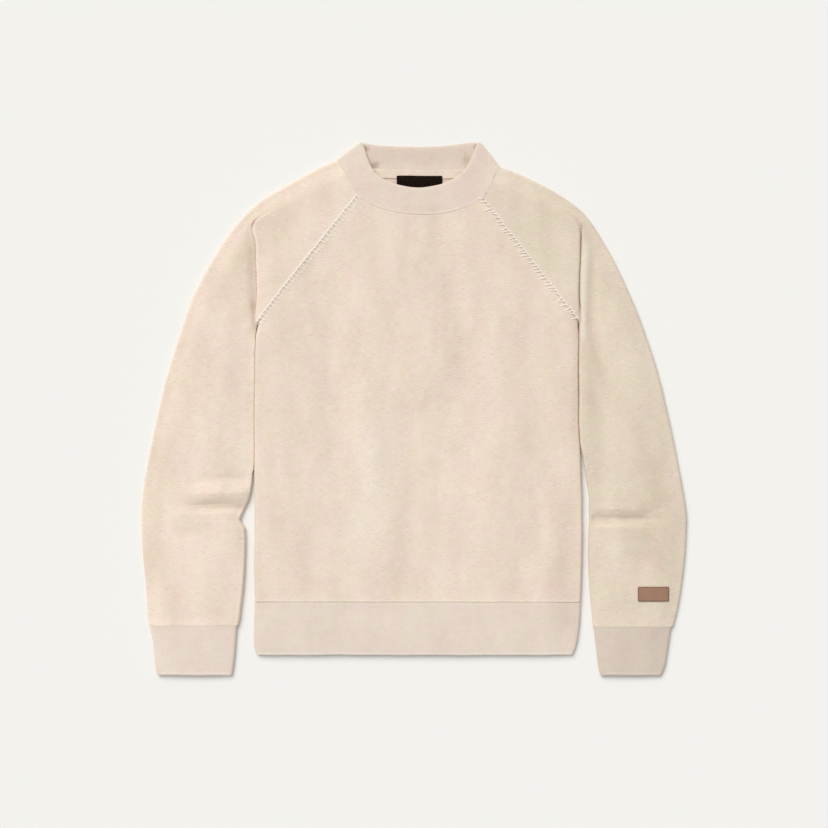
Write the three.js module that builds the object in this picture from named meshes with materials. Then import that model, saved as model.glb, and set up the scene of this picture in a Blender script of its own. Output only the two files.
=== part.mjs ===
// A crewneck sweatshirt with raglan sleeves, laid flat on its back.
// Millimetres. X runs to the wearer's left, Y from hem to neck, Z up from the table.
// The pattern is drawn from the middle of the hem's lower edge, and the whole
// garment is moved at the end so that its origin lies under the middle of it.
import * as THREE from 'three';

// Cloth
const fleeceWall = 2.4;
const ribWall = 2.8;
const seamGap = 0.3;
const restGap = 0.3;
const tapeWall = 0.7;
const labelWall = 0.8;
const patchWall = 1.2;

// Heights of the middle of the cloth
const backMiddle = fleeceWall / 2;
const ribBackMiddle = ribWall / 2;
const frontMiddle = 7.0;
const lowestFront = 4.0;
const freeRibMiddle = 5.4;

// Soft roll of the cloth beside each folded edge
const foldRadius = 1.8;
const rollWidth = 22;
const uprightStrip = 0.3;
const foldSteps = 5;

// Levels along Y: the hem seam, and where the roll beside the shoulder creases fades out
const hemSeamY = 69;
const rollFadeStart = 440;
const rollFadeEnd = 530;

// The front neck seam from the right raglan seam to the left one, and the band's edge above it
const neckFront = [
  { seam: [-76.5, 596.5], edge: [-58.5, 631.5] },
  { seam: [-66, 589], edge: [-52.5, 624.5] },
  { seam: [-54.5, 583.3], edge: [-46, 620] },
  { seam: [-38.5, 578], edge: [-33, 613.5] },
  { seam: [-21.5, 574.5], edge: [-19, 609.5] },
  { seam: [-5, 572.6], edge: [-6, 607.9] },
  { seam: [11.5, 572.2], edge: [6, 607.6] },
  { seam: [27, 573.2], edge: [20, 609.6] },
  { seam: [41, 575.6], edge: [33, 612.6] },
  { seam: [57, 580.5], edge: [45, 618] },
  { seam: [71.5, 586.8], edge: [55.5, 625.5] },
  { seam: [84, 592], edge: [63, 633.5] },
];

// The back neck seam from the left raglan seam to the right one, and the band's edge above it
const neckBack = [
  { seam: [80, 630], edge: [71, 667.2] },
  { seam: [55, 628.3], edge: [50, 664.2] },
  { seam: [28, 627.3], edge: [25, 662] },
  { seam: [0, 627], edge: [0, 661] },
  { seam: [-28, 627.6], edge: [-26, 661.4] },
  { seam: [-54, 629.2], edge: [-50, 663.2] },
  { seam: [-78, 632], edge: [-67, 666] },
];

// Shoulder folds of the neckband
const neckFolds = {
  right: { seam: [-104, 644.5], edge: [-75, 666.6] },
  left: { seam: [107, 635], edge: [81.8, 666.8] },
};

// Raglan seams: three points that shape each curve, from neck to underarm
const raglanSeams = {
  right: { front: [[-76.5, 596.5], [-187, 461], [-208.5, 429]], back: [[-78, 632], [-209, 429]] },
  left: { front: [[84, 592], [188, 462], [209.5, 432]], back: [[80, 630], [210, 432]] },
};

// Side edges of the body from hem seam to underarm
const bodySides = [
  { y: 69, right: -212, left: 212.3 },
  { y: 100, right: -212.3, left: 214 },
  { y: 140, right: -212.3, left: 214.8 },
  { y: 180, right: -212.3, left: 214.8 },
  { y: 220, right: -212, left: 213.8 },
  { y: 262, right: -212, left: 211.8 },
  { y: 305, right: -212, left: 209.8 },
  { y: 350, right: -212, left: 209.4 },
  { y: 385, right: -211.6, left: 209.8 },
  { y: 412, right: -210.4, left: 209.9 },
  { y: 424, right: -209.3, left: 209.8 },
];

// Soft folds pressed into the upper cloth: a positive depth is a trough, a negative one a ridge
const bodyFolds = [
  { depth: 1.3, width: 24, path: [[-142, 563], [-112, 421], [-103, 255], [-98, 196]] },
  { depth: 1.4, width: 22, path: [[24, 568], [38, 500], [63, 402], [44, 329], [44, 240]] },
  { depth: 1.1, width: 20, path: [[157, 250], [161, 168]] },
  { depth: -0.9, width: 26, path: [[-93, 432], [-45, 207], [-40, 100]] },
  { depth: -0.6, width: 30, path: [[108, 470], [118, 300], [100, 150]] },
];
const rightSleeveFolds = [
  { depth: 1.0, width: 9, path: [[-213, 228], [-255, 231], [-301, 222]] },
  { depth: -0.7, width: 8, path: [[-216, 212], [-258, 214], [-300, 209]] },
  { depth: 2.0, width: 6, path: [[-222, 187], [-252, 197], [-289, 199]] },
  { depth: -0.8, width: 10, path: [[-226, 160], [-262, 172], [-306, 180]] },
  { depth: 0.8, width: 16, path: [[-262, 470], [-282, 380], [-296, 290]] },
];
const leftSleeveFolds = [
  { depth: 1.5, width: 8, path: [[232, 534], [224, 476], [230, 402], [244, 304]] },
  { depth: 1.8, width: 6, path: [[224, 180], [262, 177], [298, 181]] },
  { depth: -0.8, width: 10, path: [[226, 158], [262, 156], [305, 160]] },
  { depth: -0.7, width: 12, path: [[222, 206], [262, 202], [308, 210]] },
  { depth: 0.8, width: 18, path: [[288, 262], [300, 200], [296, 120]] },
];

// Sleeve sections from neck to cuff. Above the underarm, seam says how far down the raglan
// seam a section starts. Below it, inner is the point on the inner edge. Crease is how far
// along the section the shoulder crease lies, and depth how much of its full depth it has.
// Roll is the height given up beside the inner edge or the crease. Steps is how many rows
// of cloth lie between a section and the next one.
const rightSleeveSections = [
  { seam: 0, outer: [-104, 644.5], crease: 28, depth: 0, roll: 0, steps: 1 },
  { seam: 0.08, outer: [-132, 632], crease: 42, depth: 0, roll: 0, steps: 1 },
  { seam: 0.17, outer: [-166, 612.5], crease: 58, depth: 0, roll: 0, steps: 1 },
  { seam: 0.26, outer: [-198, 594.5], crease: 74, depth: 0, roll: 0, steps: 1 },
  { seam: 0.35, outer: [-221, 577.5], crease: 84, depth: 0.1, roll: 0.1, steps: 1 },
  { seam: 0.44, outer: [-237, 558.5], crease: 68, depth: 0.75, roll: 0.8, steps: 1 },
  { seam: 0.55, outer: [-251, 539.5], crease: 49, depth: 1, roll: 1.4, steps: 1 },
  { seam: 0.66, outer: [-263, 520], crease: 32, depth: 1, roll: 1.6, steps: 1 },
  { seam: 0.77, outer: [-274, 501], crease: 18, depth: 0.9, roll: 1.7, steps: 1 },
  { seam: 0.87, outer: [-283, 484.5], crease: 9.5, depth: 0.4, roll: 1.8, steps: 1 },
  { seam: 0.94, outer: [-288.5, 473], crease: 7.5, depth: 0, roll: 1.8, steps: 1 },
  { seam: 1, outer: [-294, 461.5], crease: 7, depth: 0, roll: 1.8, steps: 1 },
  { inner: [-210.9, 414], outer: [-302, 438], crease: 7, depth: 0, roll: 1.8, steps: 2 },
  { inner: [-212.6, 378], outer: [-313, 405], crease: 7, depth: 0, roll: 1.8, steps: 2 },
  { inner: [-212.8, 335], outer: [-326, 363], crease: 7, depth: 0, roll: 1.8, steps: 2 },
  { inner: [-212.8, 290], outer: [-338.5, 312], crease: 7, depth: 0, roll: 1.8, steps: 2 },
  { inner: [-213.4, 250], outer: [-348.5, 262], crease: 7, depth: 0, roll: 1.8, steps: 1 },
  { inner: [-215, 230], outer: [-354, 234], crease: 7, depth: 0, roll: 1.8, steps: 1 },
  { inner: [-218, 211], outer: [-357.5, 209], crease: 7, depth: 0, roll: 1.8, steps: 1 },
  { inner: [-222, 198], outer: [-359.2, 192], crease: 7, depth: 0, roll: 1.8, steps: 1 },
  { inner: [-227, 186], outer: [-360, 178], crease: 7, depth: 0, roll: 1.8, steps: 1 },
  { inner: [-231, 176], outer: [-359.8, 167], crease: 7, depth: 0, roll: 1.8, steps: 1 },
  { inner: [-224.5, 165], outer: [-359.2, 155], crease: 7, depth: 0, roll: 1.8, steps: 1 },
  { inner: [-223.2, 152], outer: [-358.3, 143], crease: 7, depth: 0, roll: 1.8, steps: 1 },
  { inner: [-223.6, 122], outer: [-356.8, 120], crease: 7, depth: 0, roll: 1.8, steps: 1 },
  { inner: [-226, 90], outer: [-353.8, 90], crease: 7, depth: 0, roll: 1.8, steps: 1 },
  { inner: [-229.5, 60], outer: [-351.8, 60], crease: 7, depth: 0, roll: 1.8, steps: 1 },
  { inner: [-232.5, 38.65], outer: [-349.6, 38.65], crease: 7, depth: 0, roll: 1.8, steps: 1 },
];
const leftSleeveSections = [
  { seam: 0, outer: [107, 635], crease: 26, depth: 0, roll: 0, steps: 1 },
  { seam: 0.08, outer: [136, 624.5], crease: 39, depth: 0, roll: 0, steps: 1 },
  { seam: 0.17, outer: [167, 608], crease: 53, depth: 0, roll: 0, steps: 1 },
  { seam: 0.26, outer: [196, 592], crease: 67, depth: 0, roll: 0, steps: 1 },
  { seam: 0.35, outer: [219, 573], crease: 78, depth: 0.15, roll: 0, steps: 1 },
  { seam: 0.44, outer: [233, 552], crease: 67, depth: 0.9, roll: 0, steps: 1 },
  { seam: 0.55, outer: [245, 531], crease: 47, depth: 1, roll: -0.2, steps: 1 },
  { seam: 0.66, outer: [255.5, 512.5], crease: 31, depth: 1, roll: -0.4, steps: 1 },
  { seam: 0.77, outer: [264.5, 494.5], crease: 18, depth: 1, roll: -0.4, steps: 1 },
  { seam: 0.87, outer: [272, 477.5], crease: 9.5, depth: 0.5, roll: 0.2, steps: 1 },
  { seam: 0.94, outer: [277, 466.5], crease: 7.5, depth: 0, roll: 0.8, steps: 1 },
  { seam: 1, outer: [282, 455], crease: 7, depth: 0, roll: 1.0, steps: 1 },
  { inner: [210.7, 416], outer: [290, 434], crease: 7, depth: 0, roll: 0.2, steps: 2 },
  { inner: [210.6, 378], outer: [303, 399], crease: 7, depth: 0, roll: -0.4, steps: 2 },
  { inner: [210.2, 335], outer: [316, 354], crease: 7, depth: 0, roll: -0.4, steps: 2 },
  { inner: [211.4, 290], outer: [328, 303], crease: 7, depth: 0, roll: -0.2, steps: 1 },
  { inner: [214, 257], outer: [337, 260], crease: 7, depth: 0, roll: 0.6, steps: 1 },
  { inner: [219.6, 231], outer: [343.5, 226], crease: 7, depth: 0, roll: 1.4, steps: 1 },
  { inner: [222.6, 208], outer: [347.5, 202], crease: 7, depth: 0, roll: 1.8, steps: 1 },
  { inner: [223.2, 191], outer: [350, 188], crease: 7, depth: 0, roll: 1.8, steps: 1 },
  { inner: [223.6, 179], outer: [350.6, 176], crease: 7, depth: 0, roll: 1.8, steps: 1 },
  { inner: [222.6, 167], outer: [350, 163], crease: 7, depth: 0, roll: 1.8, steps: 1 },
  { inner: [222, 148], outer: [349.3, 145], crease: 7, depth: 0, roll: 1.8, steps: 1 },
  { inner: [221.9, 120], outer: [347.4, 118], crease: 7, depth: 0, roll: 1.8, steps: 1 },
  { inner: [223.2, 90], outer: [343.4, 88], crease: 7, depth: 0, roll: 1.8, steps: 1 },
  { inner: [225.4, 62], outer: [339, 60], crease: 7, depth: 0, roll: 1.8, steps: 1 },
  { inner: [228, 37.15], outer: [333.2, 37.15], crease: 7, depth: 0, roll: 1.8, steps: 1 },
];

// Ribbed bands that close on themselves, from seam to free edge
const hemSections = [
  { y: 68.85, right: -212.2, left: 212.4 },
  { y: 50, right: -212.9, left: 211.6 },
  { y: 32, right: -213.6, left: 210.5 },
  { y: 16, right: -213.9, left: 207.9 },
  { y: 5, right: -211.6, left: 204.6 },
  { y: 0, right: -209, left: 202 },
];
const rightCuffSections = [
  { y: 38.35, right: -348.6, left: -235 },
  { y: 20, right: -344.2, left: -236.6 },
  { y: 2, right: -343.2, left: -237.8 },
  { y: -16, right: -341.4, left: -239.6 },
  { y: -26.5, right: -339.2, left: -241.2 },
];
const leftCuffSections = [
  { y: 36.85, right: 228.6, left: 330.8 },
  { y: 20, right: 230.2, left: 327.6 },
  { y: 2, right: 232.6, left: 325 },
  { y: -16, right: 234.6, left: 322.8 },
  { y: -27, right: 237.4, left: 316.8 },
];

// Trims. The tape's lower and upper edges are told from the back neck seam that it covers.
const tape = { right: -70, left: 72, lower: -8, upper: 3.5 };
const label = { right: -27, left: 32.5, bottom: 584, top: 623.4 };
const patch = { right: 286, left: 326.6, bottom: 70, top: 89 };

// How far below the tape the label has come down on the back panel
const labelSettle = 9;

// The cloth this far round the patch carries it
const patchSurround = { across: 20, along: 30 };

// Crease shape: half its width, the radius of its bottom, its steps across, and how far
// from it the arm's first row of points lies
const creaseHalf = 3.5;
const creaseBottom = 1.45;
const creaseSteps = 8;
const creaseClear = 1;

// How far the cloth rolls down to the shoulder crease, from the shoulder and from the arm
const shoulderReach = 14;
const armReach = 24;

// Steps across a sleeve: on the arm, on its roll, round the outer fold and along the back,
// and the distances of the points beside the seams
const sleeveSteps = { arm: 4, roll: 3, outerFold: 6, back: 4 };
const shoulderShares = [0.4, 0.7];
const backEdgeDistances = [9, 3.6, 2.4, 1.2, uprightStrip, 0];

// How far down the raglan seam the sleeve's edge starts to turn under, and its crease to reach it
const turnStart = 0.8;
const creaseMeetsEdge = 0.85;

// The neckband: its rows from seam to edge, its pull in beside the shoulder folds, and the
// share of its width that rolls down to them
const neckRows = [0, 0.3, 0.65, 1];
const neckPull = 12;
const neckRollShare = 0.12;
const neckCurveSteps = 120;

// Folds fade out over this distance from a folded edge or a seam
const foldFade = 12;

const smooth = (value) => THREE.MathUtils.smoothstep(value, 0, 1);
const mix = THREE.MathUtils.lerp;
const range = (count) => Array.from({ length: count + 1 }, (_, index) => index / count);
const flatPoint = ([x, y]) => new THREE.Vector2(x, y);

// A wall of cloth: a grid of points on its middle surface, moved out and in by half its
// thickness along the surface's own direction, and closed round every free edge
function clothWall(rows, thickness, isRing = false) {
  const rowCount = rows.length;
  const columnCount = rows[0].length;
  const at = (row, column) => {
    const wrapped = isRing
      ? (column + columnCount) % columnCount
      : THREE.MathUtils.clamp(column, 0, columnCount - 1);
    return rows[THREE.MathUtils.clamp(row, 0, rowCount - 1)][wrapped];
  };
  const outside = [];
  const inside = [];
  for (let row = 0; row < rowCount; row += 1) {
    for (let column = 0; column < columnCount; column += 1) {
      const across = at(row, column + 1).clone().sub(at(row, column - 1));
      const along = at(row + 1, column).clone().sub(at(row - 1, column));
      const outward = across.cross(along).setLength(thickness / 2);
      outside.push(...at(row, column).clone().add(outward).toArray());
      inside.push(...at(row, column).clone().sub(outward).toArray());
    }
  }
  const faces = [];
  const edges = new Map();
  const addFace = (a, b, c) => {
    faces.push(a, b, c);
    [[a, b], [b, c], [c, a]].forEach(([start, end]) => edges.set(`${start},${end}`, [start, end]));
  };
  const lastColumn = isRing ? columnCount : columnCount - 1;
  for (let row = 0; row < rowCount - 1; row += 1) {
    for (let column = 0; column < lastColumn; column += 1) {
      const next = (column + 1) % columnCount;
      const a = row * columnCount + column;
      const b = row * columnCount + next;
      addFace(a, b, b + columnCount);
      addFace(a, b + columnCount, a + columnCount);
    }
  }
  const indices = [...faces];
  const inner = rowCount * columnCount;
  for (let face = 0; face < faces.length; face += 3) {
    indices.push(faces[face] + inner, faces[face + 2] + inner, faces[face + 1] + inner);
  }
  edges.forEach(([start, end]) => {
    if (!edges.has(`${end},${start}`)) {
      indices.push(end, start, start + inner, end, start + inner, end + inner);
    }
  });
  const geometry = new THREE.BufferGeometry();
  geometry.setAttribute('position', new THREE.Float32BufferAttribute([...outside, ...inside], 3));
  geometry.setIndex(indices);
  geometry.computeVertexNormals();
  return geometry;
}

// How deep the folds press the cloth at a place
function foldDepth(folds, x, y) {
  const place = new THREE.Vector3(x, y, 0);
  const nearest = new THREE.Vector3();
  return folds.reduce((total, fold) => {
    const distances = fold.path.slice(1).map(([endX, endY], index) => {
      const [startX, startY] = fold.path[index];
      const line = new THREE.Line3(new THREE.Vector3(startX, startY, 0), new THREE.Vector3(endX, endY, 0));
      return line.closestPointToPoint(place, true, nearest).distanceTo(place);
    });
    return total + fold.depth * Math.exp(-((Math.min(...distances) / fold.width) ** 2));
  }, 0);
}

// Middle height of the upper cloth once the folds are pressed in, never down on the lower cloth
function pressed(height, folds, x, y, share) {
  return Math.max(height - share * foldDepth(folds, x, y), lowestFront);
}

// Values between the rows of a table, on a smooth curve through them
function tableCurve(table, column, place) {
  const key = (index) => table[THREE.MathUtils.clamp(index, 0, table.length - 1)][column];
  const index = Math.min(Math.floor(place), table.length - 2);
  const t = place - index;
  const [before, start, end, after] = [key(index - 1), key(index), key(index + 1), key(index + 2)];
  const startSlope = (end - before) / 2;
  const endSlope = (after - start) / 2;
  const cubed = t ** 3;
  const squared = t ** 2;
  return (2 * cubed - 3 * squared + 1) * start + (cubed - 2 * squared + t) * startSlope
    + (3 * squared - 2 * cubed) * end + (cubed - squared) * endSlope;
}

// The place in a table whose named column has a value, for a column that rises
function tablePlace(table, column, value) {
  const above = table.findIndex((row) => row[column] >= value);
  const index = THREE.MathUtils.clamp(above - 1, 0, table.length - 2);
  const start = table[index][column];
  return index + (value - start) / (table[index + 1][column] - start);
}

const raglanCurves = Object.fromEntries(Object.entries(raglanSeams).map(([side, seams]) => [side, {
  front: new THREE.QuadraticBezierCurve(...seams.front.map(flatPoint)),
  back: new THREE.LineCurve(...seams.back.map(flatPoint)),
}]));
const sideSign = { right: -1, left: 1 };

// The cloth beside a folded edge, seen along the edge. It starts at the seam, where a short
// upright strip stands up, and turns flat. Turn is 1 at a full fold, 0 where the seam lies flat.
function foldedEdge(distance, radius, turn) {
  const fullAngle = turn * Math.PI / 2;
  const bend = radius - seamGap / 2 - uprightStrip;
  const strip = Math.min(distance, uprightStrip);
  const angle = Math.max(fullAngle - (distance - strip) / bend, 0);
  const straight = Math.max(distance - strip - bend * fullAngle, 0);
  return {
    across: strip * Math.cos(fullAngle) + bend * (Math.sin(fullAngle) - Math.sin(angle)) + straight,
    drop: (uprightStrip - strip) * Math.sin(fullAngle) + bend * (1 - Math.cos(angle)),
    lean: seamGap / 2 + Math.sin(fullAngle) * fleeceWall / 2,
  };
}

// Front and back of the body share their rows: each row runs from the right edge to the left
// edge of the garment, first up the sides and then up the raglan seams to the neck.
const bodyHalf = 210;
const edgeFoldDistances = [0, uprightStrip, 1.5, 2.7, 3.9];
const edgeRollDistances = [9, 15, 23];
const edgeRoll = { right: 0.4, left: 1.0 };
const edgeRollWidth = 20;
const sideTurnHeight = 16;
const narrowestFit = 0.2;

function bodyEdge(side, place, curveName) {
  if (place <= 1) {
    const y = mix(hemSeamY + seamGap / 2, bodySides.at(-1).y, place);
    const spot = tablePlace(bodySides, 'y', y);
    return { x: tableCurve(bodySides, side, spot), y, turn: 1 };
  }
  const seam = raglanCurves[side][curveName].getPoint(2 - place);
  const turn = 1 - smooth((seam.y - bodySides.at(-1).y) / sideTurnHeight);
  return { x: seam.x, y: seam.y, turn };
}

const edgeRadius = (side) => (frontMiddle - edgeRoll[side] - backMiddle) / 2;

// How far the body's upper cloth drops beside the side edge and the shoulder crease above it
function sideDrop(side, x, y) {
  const fade = 1 - smooth((y - rollFadeStart) / (rollFadeEnd - rollFadeStart));
  const level = Math.min(y, bodySides.at(-1).y);
  const edgeX = tableCurve(bodySides, side, tablePlace(bodySides, 'y', level));
  const distance = sideSign[side] * (edgeX - x);
  return edgeRoll[side] * fade * (1 - smooth((distance - edgeRadius(side)) / edgeRollWidth));
}

function bodyRow(place, curveName, middleSteps, neckCurve, heightAt) {
  const ends = { right: bodyEdge('right', place, curveName), left: bodyEdge('left', place, curveName) };
  const width = ends.left.x - ends.right.x;
  const neckShare = smooth(Math.max(place - 1, 0)) ** 2;
  const columns = [];
  const addEdge = (side, distances) => distances.forEach((distance) => {
    const fold = foldedEdge(distance, edgeRadius(side), ends[side].turn);
    const inset = fold.lean + fold.across;
    columns.push({ x: ends[side].x - sideSign[side] * inset, drop: fold.drop });
  });
  const fit = Math.min(1, width / (2 * bodyHalf) + narrowestFit);
  const distances = [...edgeFoldDistances, ...edgeRollDistances.map((distance) => distance * fit)];
  addEdge('right', distances);
  const [start, end] = [columns.at(-1).x, ends.left.x - distances.at(-1)];
  range(middleSteps).slice(1, -1).forEach((share) => columns.push({ x: mix(start, end, share), drop: 0 }));
  addEdge('left', [...distances].reverse());
  return columns.map(({ x, drop }) => {
    const share = THREE.MathUtils.clamp((x - ends.right.x) / width, 0, 1);
    const straightY = mix(ends.right.y, ends.left.y, share);
    const neckY = neckCurve(share);
    const y = mix(straightY, straightY + neckY, neckShare);
    return new THREE.Vector3(x, y, heightAt(x, y, drop));
  });
}

// The neck seam's height at any X, from stations that run from right to left
function neckSeamY(stations) {
  const curve = new THREE.CatmullRomCurve3(stations.map(({ seam }) => new THREE.Vector3(...seam, 0)));
  const points = curve.getPoints(neckCurveSteps);
  return (x) => {
    const inside = THREE.MathUtils.clamp(x, points[0].x, points.at(-1).x);
    const next = Math.max(1, points.findIndex((point) => point.x >= inside));
    const [a, b] = [points[next - 1], points[next]];
    return mix(a.y, b.y, (inside - a.x) / (b.x - a.x));
  };
}

// How far the neck seam dips below the line between its two ends
function neckDip(stations) {
  const [first, last] = [stations[0].seam, stations.at(-1).seam];
  const seamY = neckSeamY(stations);
  return (share) => seamY(mix(first[0], last[0], share)) - mix(first[1], last[1], share);
}

const neckBackRightToLeft = [...neckBack].reverse();

// Rows of the body: 0 to 1 is the way up the side, 1 to 2 the way up the raglan seam
const frontPlaces = [...range(13), 1.05, 1.12, 1.2, 1.3, 1.4, 1.5, 1.6, 1.7, 1.79, 1.87, 1.94, 2];
const backPlaces = [...range(5), 1.05, 1.12, 1.25, 1.45, 1.65, 1.85, 2];
const bodySteps = { front: 13, back: 5 };

// Moves the last row of a panel back from its neck seam by half the seam's gap
function trimTop(rows, gap = seamGap / 2) {
  const last = rows.at(-1);
  const before = rows.at(-2);
  return [...rows.slice(0, -1), last.map((point, index) => (
    point.clone().sub(point.clone().sub(before[index]).setLength(gap))))];
}

function frontPanel() {
  const dip = neckDip(neckFront);
  const rows = frontPlaces.map((place) => bodyRow(place, 'front', bodySteps.front, dip, (x, y, drop) => {
    const flat = frontMiddle - sideDrop('right', x, y) - sideDrop('left', x, y);
    const share = smooth((bodyHalf - Math.abs(x)) / foldFade) * smooth((y - hemSeamY) / (2 * foldFade));
    return pressed(flat, bodyFolds, x, y, share) - drop;
  }));
  return clothWall(trimTop(rows), fleeceWall);
}

function backPanel() {
  const dip = neckDip(neckBackRightToLeft);
  const rows = backPlaces.map((place) => (
    bodyRow(place, 'back', bodySteps.back, dip, (x, y, drop) => backMiddle + drop)));
  return clothWall(trimTop(rows).map((row) => [...row].reverse()), fleeceWall);
}

// The shoulder crease across its width: how far across, and what share of its full depth
function creaseShape(step) {
  const side = Math.sign(step);
  const share = Math.abs(step);
  const lip = creaseHalf - creaseBottom;
  if (share > 0.5) {
    const angle = (1 - share) * Math.PI;
    const across = side * (creaseHalf - lip * Math.sin(angle));
    return { across, sink: lip * (1 - Math.cos(angle)) / creaseHalf };
  }
  const angle = share * Math.PI;
  const across = side * creaseBottom * Math.sin(angle);
  return { across, sink: (lip + creaseBottom * Math.cos(angle)) / creaseHalf };
}

function sleeveStations(side, table) {
  const rows = table.map((section) => {
    const front = section.inner ?? raglanCurves[side].front.getPoint(section.seam).toArray();
    const back = section.inner ?? raglanCurves[side].back.getPoint(section.seam).toArray();
    return {
      innerX: front[0],
      innerY: front[1],
      outerX: section.outer[0],
      outerY: section.outer[1],
      backX: back[0],
      backY: back[1],
      crease: section.crease,
      depth: section.depth,
      roll: section.roll,
      turn: section.inner ? 1 : smooth((section.seam - turnStart) / (1 - turnStart)),
      atEdge: section.inner ? 1 : smooth((section.seam - creaseMeetsEdge) / (1 - creaseMeetsEdge)),
    };
  });
  const places = table.flatMap(({ steps }, index) => (
    range(steps).slice(0, -1).map((share) => index + share)));
  return places.map((place) => Object.fromEntries(
    Object.keys(rows[0]).map((column) => [column, tableCurve(rows, column, place)])));
}

// One row of a sleeve: from the front seam over the crease and the outer fold to the back seam
function sleeveRow(station, folds) {
  const inner = flatPoint([station.innerX, station.innerY]);
  const outer = flatPoint([station.outerX, station.outerY]);
  const back = flatPoint([station.backX, station.backY]);
  const length = inner.distanceTo(outer);
  const backLength = back.distanceTo(outer);
  const front = outer.clone().sub(inner).normalize();
  const rear = outer.clone().sub(back).normalize();
  const turn = THREE.MathUtils.clamp(station.turn, 0, 1);
  const depth = THREE.MathUtils.clamp(station.depth, 0, 1);
  const innerRadius = (frontMiddle - station.roll - backMiddle) / 2;
  const outerStart = length - fleeceWall / 2 - foldRadius;
  const rollStart = Math.max(outerStart - rollWidth, mix(station.crease + creaseHalf, outerStart, 0.5));
  const rollCentre = station.crease * (1 - THREE.MathUtils.clamp(station.atEdge, 0, 1));

  const level = (distance) => {
    const outerDrop = (frontMiddle - backMiddle - 2 * foldRadius)
      * (1 - smooth((outerStart - distance) / rollWidth));
    const side = distance - rollCentre;
    const reach = side < 0 ? -side / shoulderReach : (side - innerRadius * station.atEdge) / armReach;
    const innerDrop = station.roll * (1 - smooth(reach));
    return frontMiddle - (innerDrop > 0 ? Math.max(outerDrop, innerDrop) : outerDrop + innerDrop);
  };
  const point = (direction, origin, distance, height) => new THREE.Vector3(
    origin.x + direction.x * distance, origin.y + direction.y * distance, height);
  const frontPoint = (distance, extraDrop = 0) => {
    const spot = point(front, inner, distance, 0);
    const share = smooth((outerStart - distance) / foldFade) * smooth(distance / foldFade);
    spot.z = pressed(level(distance), folds, spot.x, spot.y, share) - extraDrop;
    return spot;
  };

  const points = [];
  const shoulderEnd = station.crease - creaseHalf;
  [0, uprightStrip / shoulderEnd, ...shoulderShares].forEach((share) => {
    const fold = foldedEdge(share * shoulderEnd, innerRadius, turn);
    points.push(frontPoint(fold.lean + fold.across, fold.drop));
  });
  range(creaseSteps).forEach((share) => {
    const step = share * 2 - 1;
    const shape = creaseShape(step);
    const distance = station.crease + mix(creaseHalf * step, shape.across, depth);
    const fold = foldedEdge(distance, innerRadius, turn);
    const spot = frontPoint(turn > 0 ? fold.lean + fold.across : distance, fold.drop);
    spot.z -= depth * shape.sink * (spot.z - lowestFront);
    points.push(spot);
  });
  const armStart = station.crease + creaseHalf;
  range(sleeveSteps.arm).slice(1).forEach((share) => (
    points.push(frontPoint(mix(armStart + creaseClear, rollStart, share)))));
  range(sleeveSteps.roll).slice(1, -1).forEach((share) => (
    points.push(frontPoint(mix(rollStart, outerStart, share)))));
  range(sleeveSteps.outerFold).forEach((share) => {
    const angle = share * Math.PI;
    const direction = front.clone().lerp(rear, share).normalize();
    const centre = outer.clone().addScaledVector(direction, -(fleeceWall / 2 + foldRadius));
    const height = backMiddle + foldRadius * (1 + Math.cos(angle));
    points.push(point(direction, centre, foldRadius * Math.sin(angle), height));
  });
  const backPoint = (distance) => {
    const fold = foldedEdge(distance, innerRadius, turn);
    return point(rear, back, fold.lean + fold.across, backMiddle + fold.drop);
  };
  const flatBack = backLength - fleeceWall / 2 - foldRadius;
  range(sleeveSteps.back).slice(1, -1).forEach((share) => (
    points.push(backPoint(mix(flatBack, backEdgeDistances[0], share)))));
  backEdgeDistances.forEach((distance) => points.push(backPoint(Math.min(distance, flatBack / 2))));
  return points;
}

// Moves the first row of a sleeve away from the neck seam by half the seam's gap
function trimStart(rows, gap = seamGap / 2) {
  const [first, second] = rows;
  return [first.map((spot, index) => (
    spot.clone().add(second[index].clone().sub(spot).setLength(gap)))), ...rows.slice(1)];
}

function sleeveRows(side, table, folds) {
  return trimStart(sleeveStations(side, table).map((station) => sleeveRow(station, folds)));
}

function sleeve(side, table, folds) {
  const rows = sleeveRows(side, table, folds);
  const ordered = side === 'left' ? [...rows].reverse() : rows;
  return clothWall(ordered, fleeceWall);
}

// A ribbed band that lies flat as a ring: across the front, round one fold, across the back
// and round the other fold
function flatRing(sections, frontSteps, backSteps) {
  const turns = range(foldSteps).slice(1, -1);
  const rows = sections.map(({ y, right, left }, index) => {
    const level = mix(frontMiddle, freeRibMiddle, index / (sections.length - 1));
    const start = right + ribWall / 2 + foldRadius;
    const end = left - ribWall / 2 - foldRadius;
    const top = ribBackMiddle + 2 * foldRadius;
    const row = range(frontSteps).map((share) => {
      const x = mix(start, end, share);
      const fromFold = Math.min(x - start, end - x);
      return new THREE.Vector3(x, y, mix(top, level, smooth(fromFold / rollWidth)));
    });
    turns.forEach((share) => row.push(new THREE.Vector3(
      end + foldRadius * Math.sin(share * Math.PI), y,
      ribBackMiddle + foldRadius * (1 + Math.cos(share * Math.PI)))));
    range(backSteps).forEach((share) => (
      row.push(new THREE.Vector3(mix(end, start, share), y, ribBackMiddle))));
    turns.forEach((share) => row.push(new THREE.Vector3(
      start - foldRadius * Math.sin(share * Math.PI), y,
      ribBackMiddle + foldRadius * (1 - Math.cos(share * Math.PI)))));
    return row;
  });
  return clothWall([...rows].reverse(), ribWall, true);
}

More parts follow.
